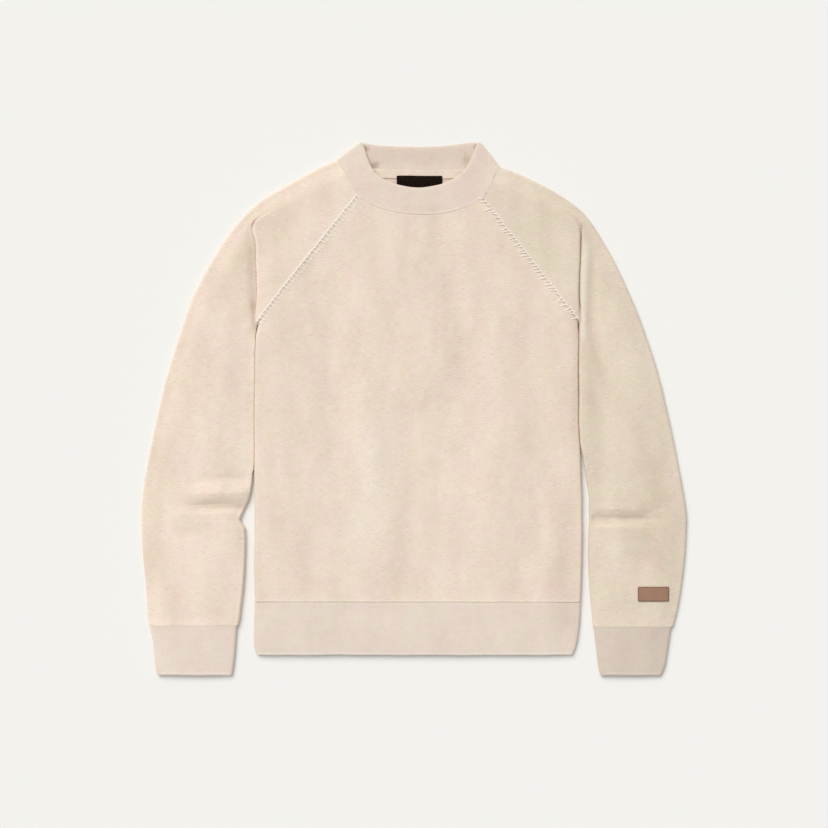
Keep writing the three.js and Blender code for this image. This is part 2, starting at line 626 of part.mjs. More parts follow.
// The neckband's stations all round, from its seam to its free edge
function neckStations() {
  const curveOf = (stations, key) => new THREE.CatmullRomCurve3(
    stations.map((station) => new THREE.Vector3(...station[key], 0)));
  const along = (stations, shares) => {
    const curves = { seam: curveOf(stations, 'seam'), edge: curveOf(stations, 'edge') };
    return shares.map((share) => ({ seam: curves.seam.getPoint(share), edge: curves.edge.getPoint(share) }));
  };
  const betweenPoints = (start, end, share) => (
    new THREE.Vector3(...start, 0).lerp(new THREE.Vector3(...end, 0), share));
  const between = (start, end, shares) => shares.map((share) => ({
    seam: betweenPoints(start.seam, end.seam, share),
    edge: betweenPoints(start.edge, end.edge, share),
  }));
  const towards = [0, 0.1, 0.3, 0.6];
  const away = [0.4, 0.7, 0.9, 1];
  return {
    front: [
      ...between(neckFolds.right, neckFront[0], towards),
      ...along(neckFront, range(22)),
      ...between(neckFront.at(-1), neckFolds.left, away),
    ],
    back: [
      ...between(neckFolds.left, neckBack[0], towards),
      ...along(neckBack, range(9)),
      ...between(neckBack.at(-1), neckFolds.right, away),
    ],
  };
}

function neckband() {
  const { front, back } = neckStations();
  const foldTurns = range(foldSteps).slice(1, -1);
  const inward = ribWall / 2 + foldRadius;
  const rows = neckRows.map((rowShare) => {
    const flat = (station) => station.seam.clone().lerp(station.edge, rowShare);
    const start = flat(front[0]);
    const end = flat(front.at(-1));
    const width = end.x - start.x;
    const pulled = (spot) => {
      const right = smooth(1 - (spot.x - start.x) / neckPull);
      const left = smooth(1 - (end.x - spot.x) / neckPull);
      return spot.x + inward * (right - left);
    };
    const row = front.map((station) => {
      const spot = flat(station);
      const fromFold = Math.min(spot.x - start.x, end.x - spot.x);
      const top = ribBackMiddle + 2 * foldRadius;
      const height = mix(top, frontMiddle, smooth(fromFold / (width * neckRollShare)));
      return new THREE.Vector3(pulled(spot), spot.y, height);
    });
    foldTurns.forEach((share) => row.push(new THREE.Vector3(
      end.x - inward + foldRadius * Math.sin(share * Math.PI), end.y,
      ribBackMiddle + foldRadius * (1 + Math.cos(share * Math.PI)))));
    back.forEach((station) => {
      const spot = flat(station);
      row.push(new THREE.Vector3(pulled(spot), spot.y, ribBackMiddle));
    });
    foldTurns.forEach((share) => row.push(new THREE.Vector3(
      start.x + inward - foldRadius * Math.sin(share * Math.PI), start.y,
      ribBackMiddle + foldRadius * (1 - Math.cos(share * Math.PI)))));
    return row;
  });
  return clothWall(trimStart(rows), ribWall, true);
}

// A thin flat piece between two edges, whose middle follows a height over the table
function flatTrim({ right, left }, edges, thickness, columns, rows, heightAt) {
  return clothWall(range(rows).map((up) => range(columns).map((over) => {
    const x = mix(right, left, over);
    const y = mix(edges.bottom(x), edges.top(x), up);
    return new THREE.Vector3(x, y, heightAt(x, y));
  })), thickness);
}

// The tape covers the back neck seam, so it rests on the band, which is thicker than the panel
const backSeamY = neckSeamY(neckBackRightToLeft);
const tapeTop = ribWall + restGap + tapeWall;

const neckTape = () => flatTrim(
  tape, { bottom: (x) => backSeamY(x) + tape.lower, top: (x) => backSeamY(x) + tape.upper },
  tapeWall, 20, 2, () => tapeTop - tapeWall / 2);

// The label's top edge lies on the tape, and the rest of it comes down on the back panel
const neckLabel = () => flatTrim(
  label, { bottom: () => label.bottom, top: () => label.top }, labelWall, 6, 12, (x, y) => {
    const settled = smooth((backSeamY(x) + tape.lower - restGap - y) / labelSettle);
    return mix(tapeTop, fleeceWall, settled) + restGap + labelWall / 2;
  });

// The patch lies on the left sleeve's upper cloth: the highest place under it carries it
function sleevePatch() {
  const rows = sleeveRows('left', leftSleeveSections, leftSleeveFolds);
  const { across, along } = patchSurround;
  const under = rows.flat().filter(({ x, y, z }) => z > lowestFront
    && x > patch.right - across && x < patch.left + across
    && y > patch.bottom - along && y < patch.top + along);
  const highest = Math.max(...under.map(({ z }) => z));
  const level = highest + fleeceWall / 2 + restGap + patchWall / 2;
  const edges = { bottom: () => patch.bottom, top: () => patch.top };
  return flatTrim(patch, edges, patchWall, 6, 3, () => level);
}

const oatmeal = { color: 0xe9d8c5, roughness: 0.95, metalness: 0 };
const oatmealRib = { color: 0xe4d5c4, roughness: 0.95, metalness: 0 };
const labelBlack = { color: 0x1f170f, roughness: 0.8, metalness: 0 };
const tanLeather = { color: 0x9f7b64, roughness: 0.6, metalness: 0 };
const pieces = [
  ['front', frontPanel(), oatmeal],
  ['back', backPanel(), oatmeal],
  ['right_sleeve', sleeve('right', rightSleeveSections, rightSleeveFolds), oatmeal],
  ['left_sleeve', sleeve('left', leftSleeveSections, leftSleeveFolds), oatmeal],
  ['neckband', neckband(), oatmealRib],
  ['hem_band', flatRing(hemSections, 16, 6), oatmealRib],
  ['right_cuff', flatRing(rightCuffSections, 8, 4), oatmealRib],
  ['left_cuff', flatRing(leftCuffSections, 8, 4), oatmealRib],
  ['neck_tape', neckTape(), oatmeal],
  ['neck_label', neckLabel(), labelBlack],
  ['sleeve_patch', sleevePatch(), tanLeather],
];

const garment = new THREE.Group();
pieces.forEach(([name, geometry, look]) => {
  const mesh = new THREE.Mesh(geometry, new THREE.MeshStandardMaterial(look));
  mesh.name = name;
  garment.add(mesh);
});
const middle = new THREE.Box3().setFromObject(garment).getCenter(new THREE.Vector3());
garment.position.set(-middle.x, -middle.y, 0);

export default garment;
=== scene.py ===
# Crewneck sweatshirt with raglan sleeves, laid flat and seen from straight above.
# Sizes in millimetres are the garment's own: x from the middle towards the wearer's left,
# y up from the hem's lower edge.
import math
import random

import bmesh
import bpy
import numpy as np
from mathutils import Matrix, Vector, noise


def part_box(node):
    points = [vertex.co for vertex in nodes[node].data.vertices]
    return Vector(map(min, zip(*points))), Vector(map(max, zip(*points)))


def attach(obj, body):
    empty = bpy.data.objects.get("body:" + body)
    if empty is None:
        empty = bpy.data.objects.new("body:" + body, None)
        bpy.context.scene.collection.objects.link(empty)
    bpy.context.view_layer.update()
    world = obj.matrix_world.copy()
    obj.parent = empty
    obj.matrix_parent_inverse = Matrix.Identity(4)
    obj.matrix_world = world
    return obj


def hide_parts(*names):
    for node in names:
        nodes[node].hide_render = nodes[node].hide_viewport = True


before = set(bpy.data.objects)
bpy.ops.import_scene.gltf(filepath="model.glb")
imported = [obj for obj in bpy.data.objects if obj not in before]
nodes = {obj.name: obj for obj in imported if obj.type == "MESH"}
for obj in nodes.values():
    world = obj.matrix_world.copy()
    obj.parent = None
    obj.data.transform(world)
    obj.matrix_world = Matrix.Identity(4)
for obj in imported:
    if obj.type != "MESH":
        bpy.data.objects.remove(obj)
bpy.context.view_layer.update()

# The neck label's lower right corner has a known place in the pattern, which gives the origin
labelRight = -27.0
labelBottom = 584.0
labelLow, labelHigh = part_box("neck_label")
originX = labelLow.x - labelRight / 1000
originY = labelLow.y - labelBottom / 1000


def smooth(value):
    share = np.clip(value, 0.0, 1.0)
    return share * share * (3 - 2 * share)


def selectOnly(piece):
    bpy.ops.object.select_all(action="DESELECT")
    piece.select_set(True)
    bpy.context.view_layer.objects.active = piece


def finishPiece(piece, node, material):
    piece.data.materials.clear()
    piece.data.materials.append(material)
    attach(piece, "root")
    if node:
        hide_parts(node)


# Seams of the garment, as paths in millimetres. Width is how far the dip beside a seam reaches,
# depth how deep it is in its middle and how much shadow is painted into it, ends the share of that left at its
# two ends.
def arc(start, bend, end, steps=24):
    shares = np.linspace(0, 1, steps + 1)[:, None]
    start, bend, end = (np.array(point, float) for point in (start, bend, end))
    return (1 - shares) ** 2 * start + 2 * shares * (1 - shares) * bend + shares ** 2 * end


# A place between two points, from the slopes at which the curve leaves and arrives
def bend(start, end, leaving, arriving, share):
    square = share ** 2
    cube = share ** 3
    return ((2 * cube - 3 * square + 1) * start + (cube - 2 * square + share) * leaving
            + (3 * square - 2 * cube) * end + (cube - square) * arriving)


# A smooth curve through points, by the centripetal rule that the pattern's neck seams follow
def curveThrough(places, steps=6):
    points = [np.array(place, float) for place in places]
    points = [2 * points[0] - points[1], *points, 2 * points[-1] - points[-2]]
    curve = []
    for before, start, end, after in zip(points, points[1:], points[2:], points[3:]):
        pairs = ((before, start), (start, end), (end, after))
        first, middle, last = (math.sqrt(math.dist(*pair)) for pair in pairs)
        inner = (end - start) / middle
        leaving = (start - before) / first - (end - before) / (first + middle) + inner
        arriving = inner - (after - start) / (middle + last) + (after - end) / last
        for share in np.arange(steps) / steps:
            curve.append(bend(start, end, leaving * middle, arriving * middle, share))
    return [*curve, points[-2]]


neckFront = curveThrough([
    (-76.5, 596.5), (-66, 589), (-54.5, 583.3), (-38.5, 578), (-21.5, 574.5), (-5, 572.6),
    (11.5, 572.2), (27, 573.2), (41, 575.6), (57, 580.5), (71.5, 586.8), (84, 592)])
neckBack = curveThrough([
    (80, 630), (55, 628.3), (28, 627.3), (0, 627), (-28, 627.6), (-54, 629.2), (-78, 632)])
seams = {
    "rightRaglan": {"path": arc((-76.5, 596.5), (-187, 461), (-208.5, 429)), "layer": "upper",
                    "width": 2.6, "depth": 0.1, "ends": 0.6},
    "leftRaglan": {"path": arc((84, 592), (188, 462), (209.5, 432)), "layer": "upper",
                   "width": 2.6, "depth": 0.1, "ends": 0.6},
    "rightRaglanBack": {"path": [(-78, 632), (-209, 429)], "layer": "lower",
                        "width": 2.6, "depth": 0.12, "ends": 0.6},
    "leftRaglanBack": {"path": [(80, 630), (210, 432)], "layer": "lower",
                       "width": 2.6, "depth": 0.12, "ends": 0.6},
    "neckFront": {"path": neckFront, "layer": "upper", "width": 1.2, "depth": 0.27, "ends": 0.12},
    "neckBack": {"path": neckBack, "layer": "lower", "width": 1.4, "depth": 0.3, "ends": 0.5},
    "neckRight": {"path": [(-76.5, 596.5), (-104, 644.5)], "layer": "upper",
                  "width": 1.8, "depth": 0.05, "ends": 1.0},
    "neckLeft": {"path": [(84, 592), (107, 635)], "layer": "upper",
                 "width": 1.8, "depth": 0.06, "ends": 1.0},
    "neckRightBack": {"path": [(-78, 632), (-104, 644.5)], "layer": "lower",
                      "width": 1.8, "depth": 0.1, "ends": 1.0},
    "neckLeftBack": {"path": [(80, 630), (107, 635)], "layer": "lower",
                     "width": 1.8, "depth": 0.1, "ends": 1.0},
    "hem": {"path": [(-215, 69), (-60, 69), (60, 69), (215, 69)], "layer": "both",
            "width": 1.3, "depth": 0.42, "ends": 0.7},
    "rightCuff": {"path": [(-352, 38.5), (-231, 38.5)], "layer": "both",
                  "width": 1.8, "depth": 0.08, "ends": 0.8},
    "leftCuff": {"path": [(226, 37), (335, 37)], "layer": "both",
                 "width": 1.8, "depth": 0.1, "ends": 0.8},
}
seamCorners = [(-76.5, 596.5), (84, 592)]
# The band's folds are drawn in at the shoulders, so its edge is let out again to these seams
letOut = {"seams": ("neckRight", "neckLeft", "neckRightBack", "neckLeftBack"),
          "inward": 3.5, "reach": 13.0, "blend": 9.0}


# Nearest place on a path: how far away it is, how far along it lies, and where
def nearestOn(path, x, y):
    nearest = np.full_like(x, 1e9)
    along = np.zeros_like(x)
    footX = np.zeros_like(x)
    footY = np.zeros_like(x)
    for index, (start, end) in enumerate(zip(path, path[1:])):
        runX = end[0] - start[0]
        runY = end[1] - start[1]
        share = np.clip(((x - start[0]) * runX + (y - start[1]) * runY) / (runX ** 2 + runY ** 2), 0, 1)
        spotX = start[0] + share * runX
        spotY = start[1] + share * runY
        distance = np.hypot(x - spotX, y - spotY)
        closer = distance < nearest
        nearest = np.where(closer, distance, nearest)
        along = np.where(closer, (index + share) / (len(path) - 1), along)
        footX = np.where(closer, spotX, footX)
        footY = np.where(closer, spotY, footY)
    return nearest, along, footX, footY


# Soft folds of the upper cloth: depth is down, a negative depth is a ridge, and width
# is how far the fold reaches to each side of its path. Shade is how much shade is painted along it,
# or how much light is painted where it is negative, and taper how soon the fold begins at its ends.
folds = [
    # painted shade round the outer arm and on the far side, and painted light low on the body
    {"depth": 0, "width": 26, "shade": 0.11,
     "path": [(-94, 617), (-153, 591), (-202, 552), (-250, 494), (-283, 448)]},
    {"depth": 0, "width": 18, "shade": 0.12,
     "path": [(-290, 440), (-318, 386), (-336, 311), (-347, 230), (-350, 150), (-345, 80)]},
    {"depth": 0, "width": 34, "shade": -0.15, "path": [(-50, 330), (-58, 200), (-95, 120)]},
    {"depth": 0, "width": 20, "shade": 0.11, "path": [(190, 220), (188, 110), (184, 10)]},
    {"depth": 0, "width": 16, "shade": 0.07, "path": [(228, 350), (231, 215)]},
    {"depth": 0, "width": 12, "shade": 0.13, "path": [(320, 230), (318, 160), (312, 95)]},
    {"depth": 0, "width": 13, "shade": -0.12, "path": [(-234, 270), (-236, 190)]},
    # body
    {"depth": 1.9, "width": 17, "path": [(-142, 563), (-112, 421), (-103, 255), (-98, 196)]},
    {"depth": 2.0, "width": 15, "shade": 0.05, "path": [(24, 568), (38, 500), (63, 402), (44, 329), (44, 240)]},
    {"depth": 1.4, "width": 14, "path": [(157, 250), (161, 168), (150, 100)]},
    {"depth": -1.8, "width": 22, "path": [(-93, 432), (-45, 207), (-40, 84)]},
    {"depth": -1.3, "width": 20, "path": [(108, 470), (118, 300), (100, 150)]},
    {"depth": -1.0, "width": 14, "path": [(-160, 330), (-168, 220), (-150, 120)]},
    {"depth": 1.2, "width": 12, "path": [(200, 190), (196, 130), (198, 90)]},
    # right shoulder and sleeve
    {"depth": -1.2, "width": 14, "path": [(-198, 552), (-188, 520), (-190, 480)]},
    {"depth": 0, "width": 1.8, "shade": -0.3,
     "path": [(-219, 562), (-213, 549), (-209.5, 535), (-209, 440)]},
    {"depth": 0.5, "width": 5, "shade": 0.2, "path": [(-217, 540), (-216, 500), (-214.5, 440)]},
    {"depth": 0.6, "width": 3, "shade": 0.35, "path": [(-214.5, 462), (-213.5, 445), (-212, 418)]},
    {"depth": -2.0, "width": 32, "path": [(-258, 520), (-268, 430), (-282, 330), (-290, 240)]},
    {"depth": 1.0, "width": 6, "path": [(-214, 226), (-255, 229), (-300, 222)]},
    {"depth": -1.3, "width": 8, "path": [(-216, 211), (-240, 212), (-286, 210)]},
    {"depth": -0.8, "width": 5, "path": [(-219, 203), (-240, 204), (-262, 203), (-294, 203)]},
    {"depth": 1.5, "width": 4.5, "path": [(-222, 190), (-240, 191.5), (-262, 190), (-296, 191)]},
    {"depth": 0, "width": 6, "shade": 0.15, "path": [(-222, 194), (-240, 195.5), (-262, 194), (-300, 195)]},
    {"depth": -1.9, "width": 30, "path": [(-294, 160), (-292, 100), (-290, 50)]},
    {"depth": 0.9, "width": 9, "path": [(-332, 262), (-330, 200), (-336, 150)]},
    # left shoulder and sleeve
    {"depth": -0.9, "width": 5, "shade": -0.25, "path": [(220, 548), (217.5, 461), (216.5, 400)]},
    {"depth": 0, "width": 1.7, "shade": 0.35, "taper": 0.04,
     "path": [(213.9, 560), (213, 548), (211, 500), (210.2, 440), (209.5, 420)]},
    {"depth": 0, "width": 5, "shade": 0.13, "path": [(207, 480), (206, 400), (205, 330), (204, 250)]},
    {"depth": 1.9, "width": 5.5, "shade": 0.12,
     "path": [(232, 536), (227, 480), (225, 440), (229, 410), (241, 365), (252, 320)]},
    {"depth": -2.2, "width": 28, "path": [(262, 470), (274, 400), (284, 310), (284, 230)]},
    {"depth": -0.7, "width": 8, "path": [(226, 191), (262, 190), (300, 195)]},
    {"depth": -0.5, "width": 5, "path": [(222, 185), (245, 184), (270, 185), (296, 187)]},
    {"depth": 1.0, "width": 4, "shade": 0.1, "path": [(220, 175), (245, 173.5), (270, 175), (300, 178)]},
    {"depth": 0, "width": 5, "shade": 0.08, "path": [(222, 180), (245, 179.5), (270, 181), (296, 184)]},
    {"depth": 1.5, "width": 15, "shade": 0.13, "path": [(306, 262), (308, 200), (298, 140), (292, 112)]},
    {"depth": -1.5, "width": 26, "path": [(262, 150), (266, 60)]},
    # hem band and cuffs, whose lower edges catch the light
    {"depth": 0, "width": 1.4, "shade": -0.4, "taper": 0.02, "path": [(-213, 1.5), (0, 1.2), (213, 1.5)]},
    {"depth": 0, "width": 1.4, "shade": -0.35, "taper": 0.02, "path": [(-335, -23.4), (-236, -23.4)]},
    {"depth": 0, "width": 1.4, "shade": -0.2, "taper": 0.02, "path": [(244, -24), (326, -24)]},
    {"depth": 0.8, "width": 12, "path": [(-120, 60), (-60, 56), (-15, 61)]},
]


def foldEffects(x, y, folds):
    lift = np.zeros_like(x)
    shade = np.zeros_like(x)
    for fold in folds:
        nearest, along, footX, footY = nearestOn(fold["path"], x, y)
        fade = smooth(np.minimum(along, 1 - along) / fold.get("taper", 0.2) + 0.12)
        reach = np.exp(-((nearest / fold["width"]) ** 2)) * fade
        lift -= fold["depth"] * reach
        shade += fold.get("shade", 0) * reach
    return lift, shade


# The inside of the back band is in the shade of the front one, most of all by the shoulder folds
neckHollows = [
    {"depth": 0, "width": 16, "shade": 0.13, "taper": 0.1, "path": [(-66, 650), (0, 648), (74, 652)]},
    {"depth": 0.9, "width": 4.5, "shade": 0.5, "path": [(-66, 663), (-67, 658), (-66, 654)]},
    {"depth": 0.9, "width": 5.5, "shade": 0.55, "path": [(-57, 641), (-56, 636), (-53, 633)]},
    {"depth": 0.6, "width": 4.0, "shade": 0.5, "path": [(74, 664), (77, 661), (79, 658)]},
    {"depth": 0.4, "width": 6.0, "shade": 0.25, "path": [(58, 646), (63, 644), (69, 643)]},
]


def cloudNoise(x, y, size, seed):
    return np.array([noise.noise(Vector((a / size, b / size, seed))) for a, b in zip(x, y)])


# Hand-cut outlines wander a little, and pieces that are sewn together wander alike
wander = {"long": 0.7, "longSize": 42, "short": 0.28, "shortSize": 12}


def outlineShift(x, y):
    shift = []
    for seed in (11.3, 57.9):
        long = wander["long"] * cloudNoise(x, y, wander["longSize"], seed)
        short = wander["short"] * cloudNoise(x, y, wander["shortSize"], seed + 9)
        shift.append(long + short)
    return shift


# Height of the upper cloth over its solid: a soft loft, the folds and an uneven lie
lie = {"loft": 0.8, "clouds": 0.7, "lumps": 0.22}


def upperLift(x, y, middle):
    lift = lie["loft"] * np.clip(middle - 4.8, -0.4, 4.0)
    return lift + lie["clouds"] * cloudNoise(x, y, 66, 3.1) + lie["lumps"] * cloudNoise(x, y, 19, 7.7)


# Shader maths: a socket that adds its own Math nodes
class Wire:
    def __init__(self, graph, socket):
        self.graph = graph
        self.socket = socket

    def maths(self, operation, first, second):
        return self.graph.node("ShaderNodeMath", {"operation": operation}, {0: first, 1: second})

    def __add__(self, other):
        return self.maths("ADD", self, other)

    def __radd__(self, other):
        return self.maths("ADD", other, self)

    def __sub__(self, other):
        return self.maths("SUBTRACT", self, other)

    def __rsub__(self, other):
        return self.maths("SUBTRACT", other, self)

    def __mul__(self, other):
        return self.maths("MULTIPLY", self, other)

    def __rmul__(self, other):
        return self.maths("MULTIPLY", other, self)


class Graph:
    def __init__(self, name):
        self.material = bpy.data.materials.new(name)
        self.material.use_nodes = True
        self.tree = self.material.node_tree
        self.tree.nodes.clear()

    def node(self, kind, settings=None, inputs=None, output=0):
        made = self.tree.nodes.new(kind)
        for key, value in (settings or {}).items():
            setattr(made, key, value)
        for key, value in (inputs or {}).items():
            if isinstance(value, Wire):
                self.tree.links.new(value.socket, made.inputs[key])
            else:
                made.inputs[key].default_value = value
        return Wire(self, made.outputs[output])

    def spot(self):
        return self.node("ShaderNodeTexCoord", {}, {}, "Object")

    def attribute(self, name):
        return self.node("ShaderNodeAttribute", {"attribute_name": name}, {}, "Fac")

    def noise(self, vector, sizes, turn=0.0, detail=2.0):
        scaled = self.node("ShaderNodeMapping", {}, {
            "Vector": vector, "Rotation": (0, 0, turn), "Scale": [1 / size for size in sizes]})
        return self.node("ShaderNodeTexNoise", {}, {
            "Vector": scaled, "Scale": 1.0, "Detail": detail, "Roughness": 0.55})

    def between(self, value, low, high, start=0.0, end=1.0):
        return self.node("ShaderNodeMapRange", {"interpolation_type": "SMOOTHSTEP"}, {
            "Value": value, "From Min": low, "From Max": high, "To Min": start, "To Max": end})

    def blend(self, share, first, second, mode="MIX"):
        return self.node("ShaderNodeMix", {"data_type": "RGBA", "blend_type": mode}, {
            0: share, 6: first, 7: second}, 2)

    def bump(self, height, strength, distance):
        return self.node("ShaderNodeBump", {}, {
            "Height": height, "Strength": strength, "Distance": distance})

    def finish(self, sockets):
        shader = self.node("ShaderNodeBsdfPrincipled", {}, sockets)
        surface = self.tree.nodes.new("ShaderNodeOutputMaterial")
        self.tree.links.new(shader.socket, surface.inputs["Surface"])
        return self.material


def colour(red, green, blue):
    def channel(value):
        share = value / 255
        return share / 12.92 if share <= 0.04045 else ((share + 0.055) / 1.055) ** 2.4
    return (channel(red), channel(green), channel(blue), 1.0)


# Brushed fleece: heathered fibres, sparse slubs and soft upright blotches
fleece = {
    "light": (246, 231, 217),
    "dark": (222, 204, 187),
    "lightSlub": (252, 243, 230),
    "darkSlub": (200, 176, 153),
    # colour of the painted shadow in the dip beside a seam
    "seam": (142, 116, 92),
    # colours of the painted shade in folds and hollows, and of the painted light where the cloth is lit
    "hollow": (176, 152, 128),
    "lit": (255, 249, 240),
    "pink": (255, 250, 250),
    "yellow": (253, 254, 247),
    "blotches": 0.8,
    "mottle": 0.4,
    "fibres": 0.45,
    "slubs": 0.26,
    "bump": 0.42,
}
rib = dict(fleece)
rib.update({
    "light": (243, 229, 218),
    "dark": (221, 205, 193),
    "blotches": 0.5,
    "slubs": 0.1,
    "ribPitch": 0.0024,
    "ribHeight": 0.3,
})


def toned(look, shares):
    scaled = {key: [value * share for value, share in zip(look[key], shares)] for key in ("light", "dark")}
    return {**look, **scaled}


def knitMaterial(name, look, turn=0.0):
    graph = Graph(name)
    spot = graph.spot()
    blotches = graph.noise(spot, (0.030, 0.085, 0.05), turn / 2, 1.0)
    mottle = graph.noise(spot, (0.012, 0.010, 0.012), turn)
    hue = graph.noise(spot, (0.019, 0.017, 0.02), turn, 1.0)
    fibres = graph.noise(spot, (0.0034, 0.0012, 0.002), turn + 0.45)
    crossing = graph.noise(spot, (0.0034, 0.0012, 0.002), turn - 0.6)
    slubs = graph.noise(spot, (0.0062, 0.0016, 0.01), turn, 0.0)
    tone = 0.5 + (blotches - 0.5) * look["blotches"] + (mottle - 0.5) * look["mottle"]
    tone = tone + (fibres + crossing - 1.0) * look["fibres"]
    base = graph.blend(tone, colour(*look["dark"]), colour(*look["light"]))
    tint = graph.blend(graph.between(hue, 0.3, 0.7), colour(*look["pink"]), colour(*look["yellow"]))
    base = graph.blend(1.0, base, tint, "MULTIPLY")
    # Painted shade and painted light: the shade value darkens the cloth towards the hollow colour where it is
    # positive, and lightens it towards the lit colour where it is negative
    shade = graph.attribute("shade")
    base = graph.blend(shade, base, colour(*look["hollow"]), "MULTIPLY")
    base = graph.blend(0.0 - shade, base, colour(*look["lit"]))
    lightSlub = graph.between(slubs, 0.66, 0.78) * look["slubs"]
    darkSlub = graph.between(slubs, 0.34, 0.22) * look["slubs"]
    base = graph.blend(lightSlub, base, colour(*look["lightSlub"]))
    base = graph.blend(darkSlub, base, colour(*look["darkSlub"]))
    depth = graph.attribute("seamDepth")
    place = graph.attribute("seamPlace")
    # Beside a seam: a painted shadow in its dip, towards the seam colour, and a painted highlight on the lip
    # next to it; the dip and the lip are in the bump as well
    uneven = graph.noise(spot, (0.006, 0.006, 0.006))
    groove = graph.between(place, 0.0, 1.0, 1.0, 0.0) * depth
    lip = graph.between(place, 1.0, 1.7) * graph.between(place, 1.9, 2.8, 1.0, 0.0) * depth
    base = graph.blend(lip * 0.5, base, colour(*look["lightSlub"]))
    base = graph.blend(groove * (0.45 + uneven * 0.9), base, colour(*look["seam"]))
    pucker = graph.noise(spot, (0.0042, 0.013, 0.01), turn) * graph.attribute("pucker")
    height = fibres * 0.5 + crossing * 0.5 + mottle * 1.2 + (lightSlub - darkSlub) * 0.8
    height = height + pucker * 2.2 + lip * 0.3 - groove * 0.5
    if "ribPitch" in look:
        turns = graph.attribute("ribPlace") * (2 * math.pi / look["ribPitch"])
        wave = graph.node("ShaderNodeMath", {"operation": "SINE"}, {0: turns})
        height = height * 0.7 + wave * look["ribHeight"]
    return graph.finish({
        "Base Color": base, "Roughness": 0.95, "Normal": graph.bump(height, look["bump"], 0.0006),
        "Sheen Weight": 0.12, "Sheen Roughness": 0.5, "Specular IOR Level": 0.15})


def yarnMaterial(name, light, dark):
    graph = Graph(name)
    twist = graph.noise(graph.spot(), (0.0007, 0.0007, 0.0007))
    base = graph.blend(twist, colour(*dark), colour(*light))
    return graph.finish({
        "Base Color": base, "Roughness": 0.9, "Normal": graph.bump(twist, 0.5, 0.0003),
        "Sheen Weight": 0.3, "Sheen Roughness": 0.4, "Specular IOR Level": 0.2})


def labelMaterial():
    graph = Graph("woven_label")
    spot = graph.spot()
    weave = graph.noise(spot, (0.0011, 0.0003, 0.001), 0.0, 1.0)
    cross = graph.noise(spot, (0.0003, 0.0012, 0.001), 0.0, 1.0)
    base = graph.blend(weave * 0.6 + cross * 0.4, colour(12, 4, 0), colour(30, 18, 8))
    return graph.finish({
        "Base Color": base, "Roughness": 0.75, "Normal": graph.bump(weave + cross, 0.4, 0.0002),
        "Specular IOR Level": 0.1})


def leatherMaterial():
    graph = Graph("patch_leather")
    spot = graph.spot()
    grain = graph.node("ShaderNodeTexVoronoi", {"feature": "DISTANCE_TO_EDGE"}, {
        "Vector": spot, "Scale": 900.0})
    clouds = graph.noise(spot, (0.011, 0.009, 0.01))
    specks = graph.noise(spot, (0.0016, 0.0012, 0.001))
    base = graph.blend(clouds * 0.6 + specks * 0.4, colour(140, 102, 78), colour(174, 136, 111))
    edge = graph.attribute("edgeShare")
    base = graph.blend(edge * (0.4 + clouds * 0.7), base, colour(84, 56, 40))
    height = grain * 1.5 + specks * 0.6 + clouds * 0.3
    return graph.finish({
        "Base Color": base, "Roughness": 0.6, "Normal": graph.bump(height, 0.35, 0.0002),
        "Specular IOR Level": 0.35})


bodyCloth = knitMaterial("fleece_body", fleece)
# The right sleeve, on the side of the key light, gets a lighter copy of the cloth as painted light, and the
# left sleeve a darker copy as painted shade
rightClothPaintedLight = knitMaterial("fleece_right_sleeve_painted_light", toned(fleece, (1.018, 1.018, 1.018)), math.radians(-10))
leftClothPaintedShade = knitMaterial("fleece_left_sleeve_painted_shade", toned(fleece, (0.967, 0.976, 0.964)), math.radians(10))
hemRib = knitMaterial("rib_hem", rib)
neckRib = knitMaterial("rib_neck", toned(rib, (0.992, 0.986, 0.982)))
# The right cuff, on the side of the key light, gets a lighter copy of the rib as painted light, and the left
# cuff a darker copy as painted shade
rightRibPaintedLight = knitMaterial("rib_right_cuff_painted_light", toned(rib, (1.011, 1.012, 1.014)))
leftRibPaintedShade = knitMaterial("rib_left_cuff_painted_shade", toned(rib, (0.93, 0.93, 0.92)))
stitchYarn = yarnMaterial("stitch_yarn", (255, 253, 247), (248, 239, 226))
fuzzyYarn = yarnMaterial("stitch_yarn_fuzzy", (255, 248, 240), (244, 230, 218))
labelWeave = labelMaterial()
leather = leatherMaterial()


# Cloth that follows a solid: its loose triangles are merged into one sheet, smoothed, laid
# softly and drawn together at the seams
seamHold = {"reach": 1.5, "gap": 0.6, "closed": 0.004, "merge": 0.00005, "corner": 4.0,
            "cornerStep": 0.3}
# Edges that turn more than this are edges of the wall: crisp at a seam and softer elsewhere
wallEdges = {"turn": 55, "seamCrease": 1.0, "freeCrease": 0.35, "sharp": 50, "flat": 70, "corner": 120}
# Where the middle of the wall is higher than this, in millimetres, the cloth belongs to the top
layers = {"split": 3.2, "from": 3.0, "blend": 1.8, "away": 50.0}


def near(point, reach):
    x = np.array([(point.x - originX) * 1000])
    y = np.array([(point.y - originY) * 1000])
    return any(nearestOn(seam["path"], x, y)[0][0] < reach for seam in seams.values())


